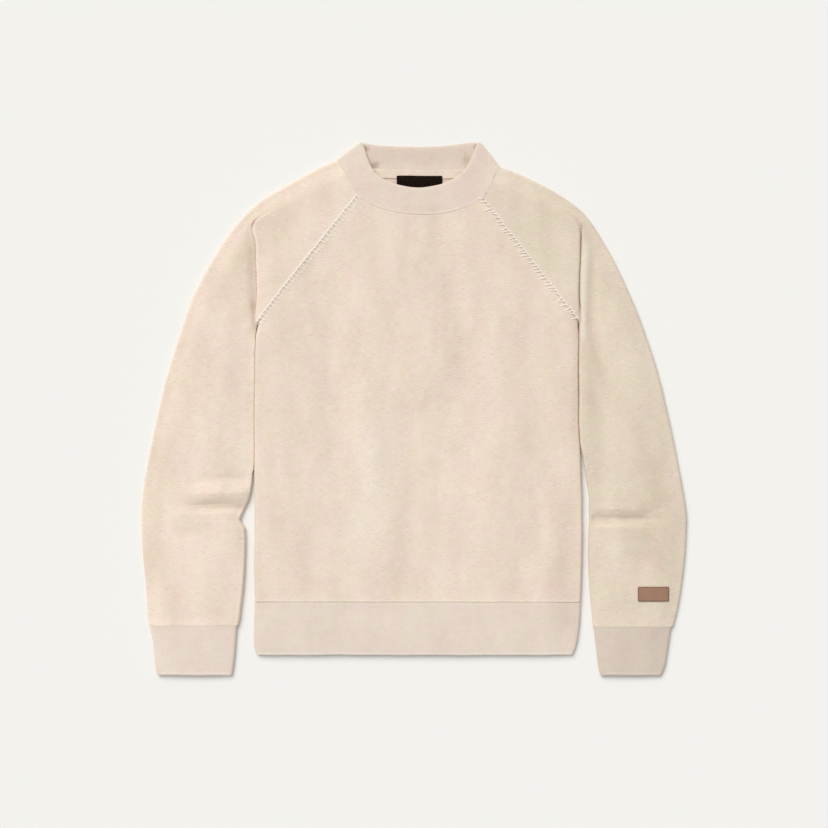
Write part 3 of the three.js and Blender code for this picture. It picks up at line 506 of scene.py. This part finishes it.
def copyOfNode(node, name, cuts=()):
    piece = bpy.data.objects.new(name, nodes[node].data.copy())
    bpy.context.collection.objects.link(piece)
    selectOnly(piece)
    bpy.ops.object.mode_set(mode="EDIT")
    bpy.ops.mesh.select_all(action="SELECT")
    bpy.ops.mesh.remove_doubles(threshold=0.00001)
    bpy.ops.mesh.normals_make_consistent(inside=False)
    bpy.ops.mesh.tris_convert_to_quads(
        face_threshold=math.radians(wallEdges["flat"]), shape_threshold=math.radians(wallEdges["corner"]))
    bpy.ops.object.mode_set(mode="OBJECT")
    shape = bmesh.new()
    shape.from_mesh(piece.data)
    for height in cuts:
        everything = [*shape.verts, *shape.edges, *shape.faces]
        bmesh.ops.bisect_plane(
            shape, geom=everything, plane_co=(0, originY + height / 1000, 0), plane_no=(0, 1, 0))
    creases = shape.edges.layers.float.new("crease_edge")
    for edge in shape.edges:
        if len(edge.link_faces) == 2 and edge.calc_face_angle() > math.radians(wallEdges["turn"]):
            middle = (edge.verts[0].co + edge.verts[1].co) / 2
            held = near(middle, seamHold["reach"])
            edge[creases] = wallEdges["seamCrease"] if held else wallEdges["freeCrease"]
    shape.to_mesh(piece.data)
    shape.free()
    subdivision = piece.modifiers.new("Subdivision", "SUBSURF")
    subdivision.levels = 2
    subdivision.render_levels = 2
    selectOnly(piece)
    bpy.ops.object.modifier_apply(modifier=subdivision.name)
    return piece


def readPoints(piece, kind):
    values = np.zeros(len(piece.data.vertices) * 3)
    piece.data.vertices.foreach_get(kind, values)
    return values.reshape(-1, 3)


def writePoints(piece, x, y, z):
    places = np.stack([originX + x / 1000, originY + y / 1000, z / 1000], axis=1)
    piece.data.vertices.foreach_set("co", places.reshape(-1))
    piece.data.update()


# Rows of points that were drawn together at a seam become one, and its edge stays sharp
def mergeSeamPoints(piece):
    selectOnly(piece)
    bpy.ops.object.mode_set(mode="EDIT")
    bpy.ops.mesh.select_all(action="SELECT")
    bpy.ops.mesh.remove_doubles(threshold=seamHold["merge"])
    bpy.ops.mesh.normals_make_consistent(inside=False)
    bpy.ops.mesh.select_all(action="DESELECT")
    bpy.ops.mesh.edges_select_sharp(sharpness=math.radians(wallEdges["sharp"]))
    bpy.ops.mesh.mark_sharp()
    bpy.ops.object.mode_set(mode="OBJECT")


def storeValues(piece, name, values):
    attribute = piece.data.attributes.new(name, "FLOAT", "POINT")
    attribute.data.foreach_set("value", values.astype(np.float32))


# Two pieces meet at the same height along an upper seam: each gives half of the step
joins = [
    {"seam": "rightRaglan", "pieces": ("front", "right_sleeve"), "blend": 18},
    {"seam": "leftRaglan", "pieces": ("front", "left_sleeve"), "blend": 18},
    {"seam": "neckFront", "pieces": ("front", "neckband"), "blend": 14},
    {"seam": "neckRight", "pieces": ("right_sleeve", "neckband"), "blend": 14},
    {"seam": "neckLeft", "pieces": ("left_sleeve", "neckband"), "blend": 14},
    {"seam": "hem", "pieces": ("front", "hem_band"), "blend": 12},
    {"seam": "rightCuff", "pieces": ("right_sleeve", "right_cuff"), "blend": 12},
    {"seam": "leftCuff", "pieces": ("left_sleeve", "left_cuff"), "blend": 12},
]
joinSpots = np.linspace(0, 1, 41)
joinEdge = {"near": 0.2, "upper": 0.02, "window": 0.03}


def edgeHeights(cloth, distance, along):
    edge = (distance < joinEdge["near"]) & (cloth["upper"] > joinEdge["upper"])
    heights = np.full(len(joinSpots), np.nan)
    for index, spot in enumerate(joinSpots):
        here = edge & (np.abs(along - spot) < joinEdge["window"])
        if here.any():
            heights[index] = cloth["z"][here].max()
    found = ~np.isnan(heights)
    return np.interp(joinSpots, joinSpots[found], heights[found])


def joinSeams(laid):
    for join in joins:
        cloths = [laid[node] for node in join["pieces"]]
        places = [nearestOn(seams[join["seam"]]["path"], cloth["x"], cloth["y"]) for cloth in cloths]
        tops = [edgeHeights(cloth, place[0], place[1]) for cloth, place in zip(cloths, places)]
        level = (tops[0] + tops[1]) / 2
        for cloth, place, top in zip(cloths, places, tops):
            step = np.interp(place[1], joinSpots, level - top)
            cloth["z"] += step * (1 - smooth(place[0] / join["blend"])) * cloth["upper"]


def letOutTo(path, distance, footX):
    first, last = path
    fromFold = np.abs(footX - last[0])
    slant = abs(last[1] - first[1]) / math.dist(first, last)
    gap = letOut["inward"] * slant * smooth(1 - fromFold / letOut["reach"])
    return np.maximum(distance - gap * (1 - smooth((distance - gap) / letOut["blend"])), 0.0)


# The top of each shoulder crease, by its height and place, and how far across it is moved
creaseTops = {
    "right_sleeve": {"width": 12.0, "rows": [
        (530, -211, 0), (540, -210, -1.5), (552, -209, -6), (560, -206.5, -8), (566, -204, -7),
        (574, -202, -2), (580, -200, 0)]},
    "left_sleeve": {"width": 13.0, "rows": [
        (525, 211, 0), (535, 211, 0.7), (545, 210.5, 2.2), (555, 208.5, 4.5), (563, 205, 7),
        (572, 200.5, 5), (582, 196, 0)]},
}


def creaseShift(x, y, top):
    heights, places, shifts = zip(*top["rows"])
    fromCrease = x - np.interp(y, heights, places)
    return np.interp(y, heights, shifts) * np.exp(-((fromCrease / top["width"]) ** 2))


# Where a sleeve lies against the body, both folds are pressed square, and the sleeve's fold is
# drawn up to the body's, so that only a line shows between them. Power is how square a fold is.
sideContact = {"low": 186.0, "high": 428.0, "lowFade": 16.0, "highFade": 10.0, "most": 2.4,
               "mostFade": 0.8, "clear": 0.12, "blend": 14.0, "nearBody": 30.0, "beyond": 8.0,
               "rowStep": 4.0, "radius": 3.4, "above": 4.2}
bodySides = {
    -1: [(69, -212), (300, -212), (385, -211.6), (412, -210.4), (428, -209.3)],
    1: [(69, 212.3), (140, 214.8), (220, 213.8), (262, 211.8), (305, 209.8), (385, 209.8), (428, 209.8)],
}
pressed = {
    "front": [{"side": -1, "power": 2.6}, {"side": 1, "power": 1.5}],
    "right_sleeve": [{"side": -1, "power": 2.6}],
    "left_sleeve": [{"side": 1, "power": 1.5}],
}


def pressSides(node, x, y, z):
    for press in pressed.get(node, ()):
        side = press["side"]
        heights, places = zip(*bodySides[side])
        bodyEdge = np.interp(y, heights, places)
        within = smooth((y - sideContact["low"]) / sideContact["lowFade"])
        within = within * smooth((sideContact["high"] - y) / sideContact["highFade"])
        if node == "front":
            inside = (bodyEdge - x) * side
            towards = side
        else:
            start = sideContact["low"] - sideContact["beyond"]
            end = sideContact["high"] + sideContact["beyond"]
            rows = np.arange(start, end, sideContact["rowStep"])
            nearBody = np.abs(x - bodyEdge) < sideContact["nearBody"]
            inRow = [nearBody & (np.abs(y - row) < sideContact["rowStep"]) for row in rows]
            ownEdge = np.interp(y, rows, [np.min((x * side)[points]) for points in inRow])
            gap = ownEdge - bodyEdge * side - sideContact["clear"]
            inside = x * side - ownEdge
            close = within * smooth((sideContact["most"] - gap) / sideContact["mostFade"])
            x = x - side * gap * close * (1 - smooth(inside / sideContact["blend"]))
            towards = -side
        radius = sideContact["radius"]
        share = np.clip(inside / radius, 0, 1)
        square = (share - share ** press["power"]) * within
        x = x + towards * radius * square * (z > sideContact["above"])
    return x


# How far each point's nearest seam is, how deep its dip is and how much shadow is painted in it, and where that
# seam draws the point to
def drawToSeams(piece, node, x, y, middle):
    seamPlace = np.full_like(x, layers["away"])
    seamDepth = np.zeros_like(x)
    newX = x.copy()
    newY = y.copy()
    onLayers = {"upper": middle > layers["split"], "lower": middle <= layers["split"], "both": middle > -9}
    stretch = (seamHold["reach"] - seamHold["closed"]) / (seamHold["reach"] - seamHold["gap"])
    for name, seam in seams.items():
        distance, along, footX, footY = nearestOn(seam["path"], x, y)
        onLayer = onLayers[seam["layer"]]
        reached = distance
        if node == "neckband" and name in letOut["seams"]:
            reached = letOutTo(seam["path"], distance, footX)
        fade = seam["ends"] + (1 - seam["ends"]) * smooth(np.minimum(along, 1 - along) / 0.25)
        share = np.where(onLayer, reached / seam["width"], layers["away"])
        closer = share < seamPlace
        seamPlace = np.where(closer, share, seamPlace)
        seamDepth = np.where(closer, seam["depth"] * fade, seamDepth)
        closed = seamHold["closed"] + np.maximum(reached - seamHold["gap"], 0) * stretch
        goal = np.where(reached < seamHold["reach"], closed, reached)
        ratio = goal / np.maximum(distance, 0.01)
        moved = onLayer & (np.abs(goal - distance) > 0.0001)
        newX = np.where(moved, footX + (x - footX) * ratio, newX)
        newY = np.where(moved, footY + (y - footY) * ratio, newY)
    for cornerX, cornerY in seamCorners:
        fromCorner = np.hypot(newX - cornerX, newY - cornerY)
        distance = np.where(middle > layers["split"], fromCorner, layers["away"])
        atCorner = (distance < distance.min() + seamHold["cornerStep"]) & (distance < seamHold["corner"])
        newX = np.where(atCorner, cornerX, newX)
        newY = np.where(atCorner, cornerY, newY)
    storeValues(piece, "seamPlace", seamPlace)
    storeValues(piece, "seamDepth", seamDepth)
    return newX, newY


def storePucker(piece, x, y, upper, puckered):
    pucker = np.zeros_like(x)
    for path, reach in puckered:
        distance = nearestOn(path, x, y)[0]
        pucker = np.maximum(pucker, (1 - smooth(distance / reach)) * upper)
    storeValues(piece, "pucker", pucker)


# New places for the points of a piece, and how far each belongs to the upper cloth
def layCloth(piece, node, wall, puckered=()):
    places = readPoints(piece, "co")
    normals = readPoints(piece, "normal")
    x = (places[:, 0] - originX) * 1000
    y = (places[:, 1] - originY) * 1000
    z = places[:, 2] * 1000
    middle = z - normals[:, 2] * wall / 2
    upper = smooth((middle - layers["from"]) / layers["blend"])
    if node in creaseTops:
        x = x + creaseShift(x, y, creaseTops[node]) * upper
    x = pressSides(node, x, y, z)
    newX, newY = drawToSeams(piece, node, x, y, middle)
    storePucker(piece, x, y, upper, puckered)
    lift, shade = foldEffects(x, y, folds)
    z = z + (lift + upperLift(x, y, middle)) * upper
    shade = shade * upper
    if node == "neckband":
        hollow, hollowShade = foldEffects(x, y, neckHollows)
        z = np.where(normals[:, 2] > 0, z + hollow * (1 - upper), z)
        shade = shade + hollowShade * (1 - upper)
    storeValues(piece, "shade", shade)
    return {"x": newX, "y": newY, "z": z, "upper": upper}


# Ribs run along x on the bands, and fan out round the neck
ribFan = {"x": 3.0, "y": 730.0, "radius": 150.0}


def storeRibs(piece, fanned):
    places = readPoints(piece, "co")
    along = places[:, 0].copy()
    if fanned:
        across = places[:, 0] - originX - ribFan["x"] / 1000
        down = originY + ribFan["y"] / 1000 - places[:, 1]
        along = np.where(places[:, 2] > 0.0035, np.arctan2(across, down) * ribFan["radius"] / 1000, along)
    storeValues(piece, "ribPlace", along)


# Rows of points along y where the folds of the elbows need them
elbowCuts = {
    "right_sleeve": [165, 172, 178, 183, 188, 192, 195, 198, 201, 204, 208, 213, 219, 226, 233],
    "left_sleeve": [150, 158, 164, 169, 173, 176, 179, 182, 185, 190, 196, 203],
}
# The cloth puckers beside these lines of sewing, within so many millimetres of each
puckers = {
    "right_sleeve": [([(-352, 40), (-231, 40)], 11)],
    "left_sleeve": [
        ([(226, 39), (335, 39)], 11),
        ([(284, 68), (329, 68), (329, 91), (284, 91), (284, 68)], 7)],
    "front": [([(-215, 70), (215, 70)], 8)],
    "back": [([(-215, 70), (215, 70)], 8)],
}
clothPieces = [
    {"node": "back", "name": "back_panel", "slot": "fleece", "wall": 2.4, "material": bodyCloth,
     "flat": (0.427, 0.563), "area": 0.210},
    {"node": "front", "name": "front_panel", "slot": "fleece", "wall": 2.4, "material": bodyCloth,
     "flat": (0.427, 0.527), "area": 0.198},
    {"node": "right_sleeve", "name": "right_sleeve_cloth", "slot": "fleece", "wall": 2.4,
     "material": rightClothPaintedLight, "flat": (0.30, 0.66), "area": 0.1415},
    {"node": "left_sleeve", "name": "left_sleeve_cloth", "slot": "fleece", "wall": 2.4,
     "material": leftClothPaintedShade, "flat": (0.28, 0.65), "area": 0.128},
    {"node": "neckband", "name": "neckband_rib", "slot": "rib", "wall": 2.8, "material": neckRib,
     "flat": (0.42, 0.037)},
    {"node": "hem_band", "name": "hem_rib", "slot": "rib", "wall": 2.8, "material": hemRib,
     "flat": (0.846, 0.069)},
    {"node": "right_cuff", "name": "right_cuff_rib", "slot": "rib", "wall": 2.8, "material": rightRibPaintedLight,
     "flat": (0.212, 0.065)},
    {"node": "left_cuff", "name": "left_cuff_rib", "slot": "rib", "wall": 2.8, "material": leftRibPaintedShade,
     "flat": (0.186, 0.064)},
    {"node": "neck_tape", "name": "neck_tape_cloth", "slot": "fleece", "wall": 0.7,
     "material": bodyCloth, "flat": (0.142, 0.0115)},
    {"node": "neck_label", "name": "neck_label_woven", "slot": "label", "wall": 0.8,
     "material": labelWeave, "flat": (0.0595, 0.0394)},
]

made = {}
laid = {}
for settings in clothPieces:
    node = settings["node"]
    made[node] = copyOfNode(node, settings["name"], elbowCuts.get(node, ()))
    laid[node] = layCloth(made[node], node, settings["wall"], puckers.get(node, ()))
joinSeams(laid)

for settings in clothPieces:
    node = settings["node"]
    piece = made[node]
    cloth = laid[node]
    shiftX, shiftY = outlineShift(cloth["x"], cloth["y"])
    writePoints(piece, cloth["x"] + shiftX, cloth["y"] + shiftY, cloth["z"])
    if settings["slot"] == "rib":
        storeRibs(piece, node == "neckband")
    mergeSeamPoints(piece)
    bpy.ops.object.shade_smooth_by_angle(angle=math.radians(wallEdges["sharp"]))
    finishPiece(piece, node, settings["material"])
    print("Cloth piece", settings["name"], len(piece.data.polygons), "faces")


# Yarn laid on the cloth: each strand is a route of points with a rise over the cloth
def groundAt(carriers, x, y, fromAbove):
    start = Vector((originX + x / 1000, originY + y / 1000, 0.1 if fromAbove else -0.1))
    best = None
    for piece in carriers:
        hit, spot, normal, index = piece.ray_cast(start, Vector((0, 0, -1 if fromAbove else 1)))
        if hit and (best is None or (spot.z > best) == fromAbove):
            best = spot.z
    return best


def roundedRoute(points, step):
    points = np.array(points, float)
    padded = np.vstack([2 * points[0] - points[1], points, 2 * points[-1] - points[-2]])
    route = []
    for index in range(1, len(padded) - 2):
        before, start, end, after = padded[index - 1:index + 3]
        steps = max(2, int(round(np.linalg.norm(end[:2] - start[:2]) / step)))
        for share in np.arange(steps) / steps:
            route.append(bend(start, end, (end - before) / 2, (after - start) / 2, share))
    route.append(points[-1])
    return route


def yarnPiece(name, strands, yarn, carriers, material, fromAbove=True):
    profile = bpy.data.curves.new(name + "_profile", "CURVE")
    ply = profile.splines.new("POLY")
    ply.points.add(yarn["sides"] - 1)
    ply.use_cyclic_u = True
    for index, point in enumerate(ply.points):
        angle = 2 * math.pi * index / yarn["sides"]
        radius = yarn["radius"] * (0.84 + 0.16 * math.cos(2 * angle)) / 1000
        point.co = (radius * math.cos(angle), radius * math.sin(angle), 0, 1)
    profileObject = bpy.data.objects.new(name + "_profile", profile)
    bpy.context.collection.objects.link(profileObject)
    curve = bpy.data.curves.new(name, "CURVE")
    curve.dimensions = "3D"
    curve.bevel_mode = "OBJECT"
    curve.bevel_object = profileObject
    curve.use_fill_caps = True
    ground = 0.0
    for strand in strands:
        route = roundedRoute(strand, yarn["step"])
        spline = curve.splines.new("POLY")
        spline.points.add(len(route) - 1)
        turned = 0.0
        for point, (x, y, rise) in zip(spline.points, route):
            found = groundAt(carriers, x, y, fromAbove)
            ground = ground if found is None else found
            height = ground + (rise if fromAbove else -rise) / 1000
            point.co = (originX + x / 1000, originY + y / 1000, height, 1)
            point.tilt = turned
            turned += 2 * math.pi * yarn["step"] / yarn["twist"]
    piece = bpy.data.objects.new(name, curve)
    bpy.context.collection.objects.link(piece)
    selectOnly(piece)
    bpy.ops.object.convert(target="MESH")
    piece = bpy.context.active_object
    bpy.ops.object.shade_smooth()
    bpy.data.objects.remove(profileObject)
    finishPiece(piece, None, material)
    print("Stitches", name, len(piece.data.polygons), "faces")
    return piece


# Blanket stitches by hand over the raglan seams: a spine along the sleeve's side of the seam,
# and rungs across it into the body
raglanYarn = {"radius": 1.05, "sides": 10, "step": 0.8, "twist": 3.6}
raglanRows = {
    "right_front": {"seam": "rightRaglan", "sleeve": -1, "carriers": ["front", "right_sleeve"],
                    "pitch": 5.4, "rung": 8.4, "lean": 0.0, "uneven": 0.10, "rise": 0.1, "seed": 3,
                    "yarn": stitchYarn},
    "left_front": {"seam": "leftRaglan", "sleeve": 1, "carriers": ["front", "left_sleeve"],
                   "pitch": 5.4, "rung": 8.6, "lean": 0.8, "uneven": 0.2, "rise": 0.1, "seed": 8,
                   "yarn": fuzzyYarn},
    "right_back": {"seam": "rightRaglanBack", "sleeve": -1, "carriers": ["back", "right_sleeve"],
                   "pitch": 5.6, "rung": 8.6, "lean": 0.1, "uneven": 0.12, "rise": -0.75, "seed": 15,
                   "yarn": stitchYarn},
    "left_back": {"seam": "leftRaglanBack", "sleeve": 1, "carriers": ["back", "left_sleeve"],
                  "pitch": 5.6, "rung": 8.6, "lean": 0.1, "uneven": 0.12, "rise": -0.75, "seed": 21,
                  "yarn": fuzzyYarn},
}


def alongPath(path, pitch, uneven):
    points = np.array(path, float)
    lengths = np.concatenate([[0], np.cumsum(np.linalg.norm(np.diff(points, axis=0), axis=1))])
    stations = []
    reach = pitch / 5
    while reach < lengths[-1] - pitch / 3:
        spot = Vector([np.interp(reach, lengths, points[:, axis]) for axis in (0, 1)])
        ahead = Vector([np.interp(reach + 1, lengths, points[:, axis]) for axis in (0, 1)])
        behind = Vector([np.interp(reach - 1, lengths, points[:, axis]) for axis in (0, 1)])
        stations.append((spot, (ahead - behind).normalized()))
        reach += pitch * random.uniform(1 - uneven, 1 + uneven)
    return stations


def blanketRow(name, row):
    random.seed(row["seed"])
    uneven = row["uneven"]
    rise = row["rise"]
    spine = []
    strands = []
    for spot, run in alongPath(seams[row["seam"]]["path"], row["pitch"], uneven):
        toSleeve = Vector((run.y, -run.x))
        if toSleeve.x * row["sleeve"] < 0:
            toSleeve = -toSleeve
        across = toSleeve.lerp(Vector((row["sleeve"], 0)), row["lean"])
        across = (across + run * random.gauss(0, uneven)).normalized()
        root = spot + toSleeve * (2.4 + random.gauss(0, 2 * uneven))
        tip = root - across * row["rung"] * random.uniform(1 - 1.5 * uneven, 1 + uneven)
        between = root + run * row["pitch"] / 2 + toSleeve * random.uniform(-0.2, 0.5)
        spine += [(root.x, root.y, rise + 0.25), (between.x, between.y, rise)]
        strand = []
        for share, height in ((-0.08, rise - 0.2), (0.12, rise + 0.3), (0.5, rise + 0.15), (0.86, rise),
                              (1.0, -0.8)):
            at = root.lerp(tip, share)
            strand.append((at.x, at.y, height))
        strands.append(strand)
    strands.append(spine)
    carriers = [made[node] for node in row["carriers"]]
    yarnPiece("stitches_" + name, strands, raglanYarn, carriers, row["yarn"], "back" not in name)


for name, row in raglanRows.items():
    blanketRow(name, row)


# Two rows of cover stitches hold the neck tape down
coverThread = {"radius": 0.28, "sides": 6, "step": 0.7, "twist": 2.0}
coverRows = {"pitch": 3.0, "length": 2.3, "offsets": (1.4, -1.4)}


def coverStitches():
    random.seed(40)
    strands = []
    for offset in coverRows["offsets"]:
        path = [(x, y + offset) for x, y in neckBack if abs(x) < 72]
        for spot, run in alongPath(path, coverRows["pitch"], 0.06):
            half = run * coverRows["length"] / 2
            ends = (spot - half, spot, spot + half)
            strands.append([(at.x, at.y, height) for at, height in zip(ends, (-0.15, 0.2, -0.15))])
    yarnPiece("stitches_neck_tape", strands, coverThread, [made["neck_tape"]], stitchYarn)


coverStitches()


# Leather patch with rounded corners on the left sleeve
patch = {"corner": 0.0016, "wall": 0.0012, "rise": 0.0003, "edge": 0.0013, "bevel": 0.0003,
         "columns": 24, "rows": 12}


def leatherPatch():
    low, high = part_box("sleeve_patch")
    centre = (low + high) / 2
    bpy.ops.object.select_all(action="DESELECT")
    bpy.ops.mesh.primitive_plane_add(size=1, location=centre)
    piece = bpy.context.active_object
    piece.name = "leather_patch"
    piece.scale = (high.x - low.x, high.y - low.y, 1)
    bpy.ops.object.transform_apply(location=True, rotation=True, scale=True)
    bpy.ops.object.mode_set(mode="EDIT")
    bpy.ops.mesh.select_all(action="SELECT")
    bpy.ops.mesh.bevel(offset=patch["corner"], segments=6, affect="VERTICES")
    for count in range(1, patch["columns"]):
        across = low.x + (high.x - low.x) * count / patch["columns"]
        bpy.ops.mesh.select_all(action="SELECT")
        bpy.ops.mesh.bisect(plane_co=(across, 0, 0), plane_no=(1, 0, 0))
    for count in range(1, patch["rows"]):
        up = low.y + (high.y - low.y) * count / patch["rows"]
        bpy.ops.mesh.select_all(action="SELECT")
        bpy.ops.mesh.bisect(plane_co=(0, up, 0), plane_no=(0, 1, 0))
    bpy.ops.object.mode_set(mode="OBJECT")
    thickness = piece.modifiers.new("Solidify", "SOLIDIFY")
    thickness.thickness = patch["wall"]
    thickness.offset = 0
    softEdge = piece.modifiers.new("Bevel", "BEVEL")
    softEdge.width = patch["bevel"]
    softEdge.segments = 2
    for modifier in ("Solidify", "Bevel"):
        bpy.ops.object.modifier_apply(modifier=modifier)
    places = readPoints(piece, "co")
    inside = np.minimum.reduce([
        places[:, 0] - low.x, high.x - places[:, 0], places[:, 1] - low.y, high.y - places[:, 1]])
    storeValues(piece, "edgeShare", 1 - smooth(inside / patch["edge"]))
    x = (places[:, 0] - originX) * 1000
    y = (places[:, 1] - originY) * 1000
    ground = np.array([groundAt([made["left_sleeve"]], a, b, True) for a, b in zip(x, y)]) * 1000
    over = ground + (patch["rise"] + patch["wall"] / 2 - centre.z) * 1000
    writePoints(piece, x, y, places[:, 2] * 1000 + over)
    selectOnly(piece)
    bpy.ops.object.shade_smooth_by_angle(angle=math.radians(40))
    finishPiece(piece, "sleeve_patch", leather)
    print("Patch", len(piece.data.polygons), "faces")


leatherPatch()


# Studio: a pale floor, soft daylight all round and a soft key from above on the left
studio = {"floor": (243, 242, 238), "drop": -0.0005, "key": 2.154, "keyAngle": 44, "world": 0.482,
          "keyFrom": (-0.42, 0.6, 0.85)}
bpy.ops.object.select_all(action="DESELECT")
bpy.ops.mesh.primitive_plane_add(size=8, location=(0, 0, studio["drop"]))
floor = bpy.context.active_object
floor.name = "floor"
floorGraph = Graph("floor_paper")
floorGrain = floorGraph.noise(floorGraph.spot(), (0.004, 0.004, 0.004))
floor.data.materials.append(floorGraph.finish({
    "Base Color": colour(*studio["floor"]), "Roughness": 0.95, "Specular IOR Level": 0.1,
    "Normal": floorGraph.bump(floorGrain, 0.05, 0.0002)}))

bpy.ops.object.light_add(type="SUN", location=(-1.2, 1.6, 2.6))
key = bpy.context.active_object
key.data.energy = studio["key"]
key.data.angle = math.radians(studio["keyAngle"])
key.rotation_euler = Vector(studio["keyFrom"]).to_track_quat("Z", "Y").to_euler()

world = bpy.data.worlds.new("studio")
world.use_nodes = True
world.node_tree.nodes["Background"].inputs["Color"].default_value = (1.0, 1.0, 1.0, 1.0)
world.node_tree.nodes["Background"].inputs["Strength"].default_value = studio["world"]
bpy.context.scene.world = world
bpy.context.scene.view_settings.view_transform = "Standard"

# The photograph is 828 pixels square, 1.30 mm to a pixel on the cloth
view = {"across": 828 * 0.00130, "lens": 85.0, "sensor": 36.0, "x": -4.55, "y": 313.3, "cloth": 0.007}
cameraData = bpy.data.cameras.new("camera")
cameraData.lens = view["lens"]
cameraData.sensor_width = view["sensor"]
camera = bpy.data.objects.new("camera", cameraData)
bpy.context.collection.objects.link(camera)
distance = view["across"] * view["lens"] / view["sensor"]
camera.location = (originX + view["x"] / 1000, originY + view["y"] / 1000, view["cloth"] + distance)
bpy.context.scene.camera = camera
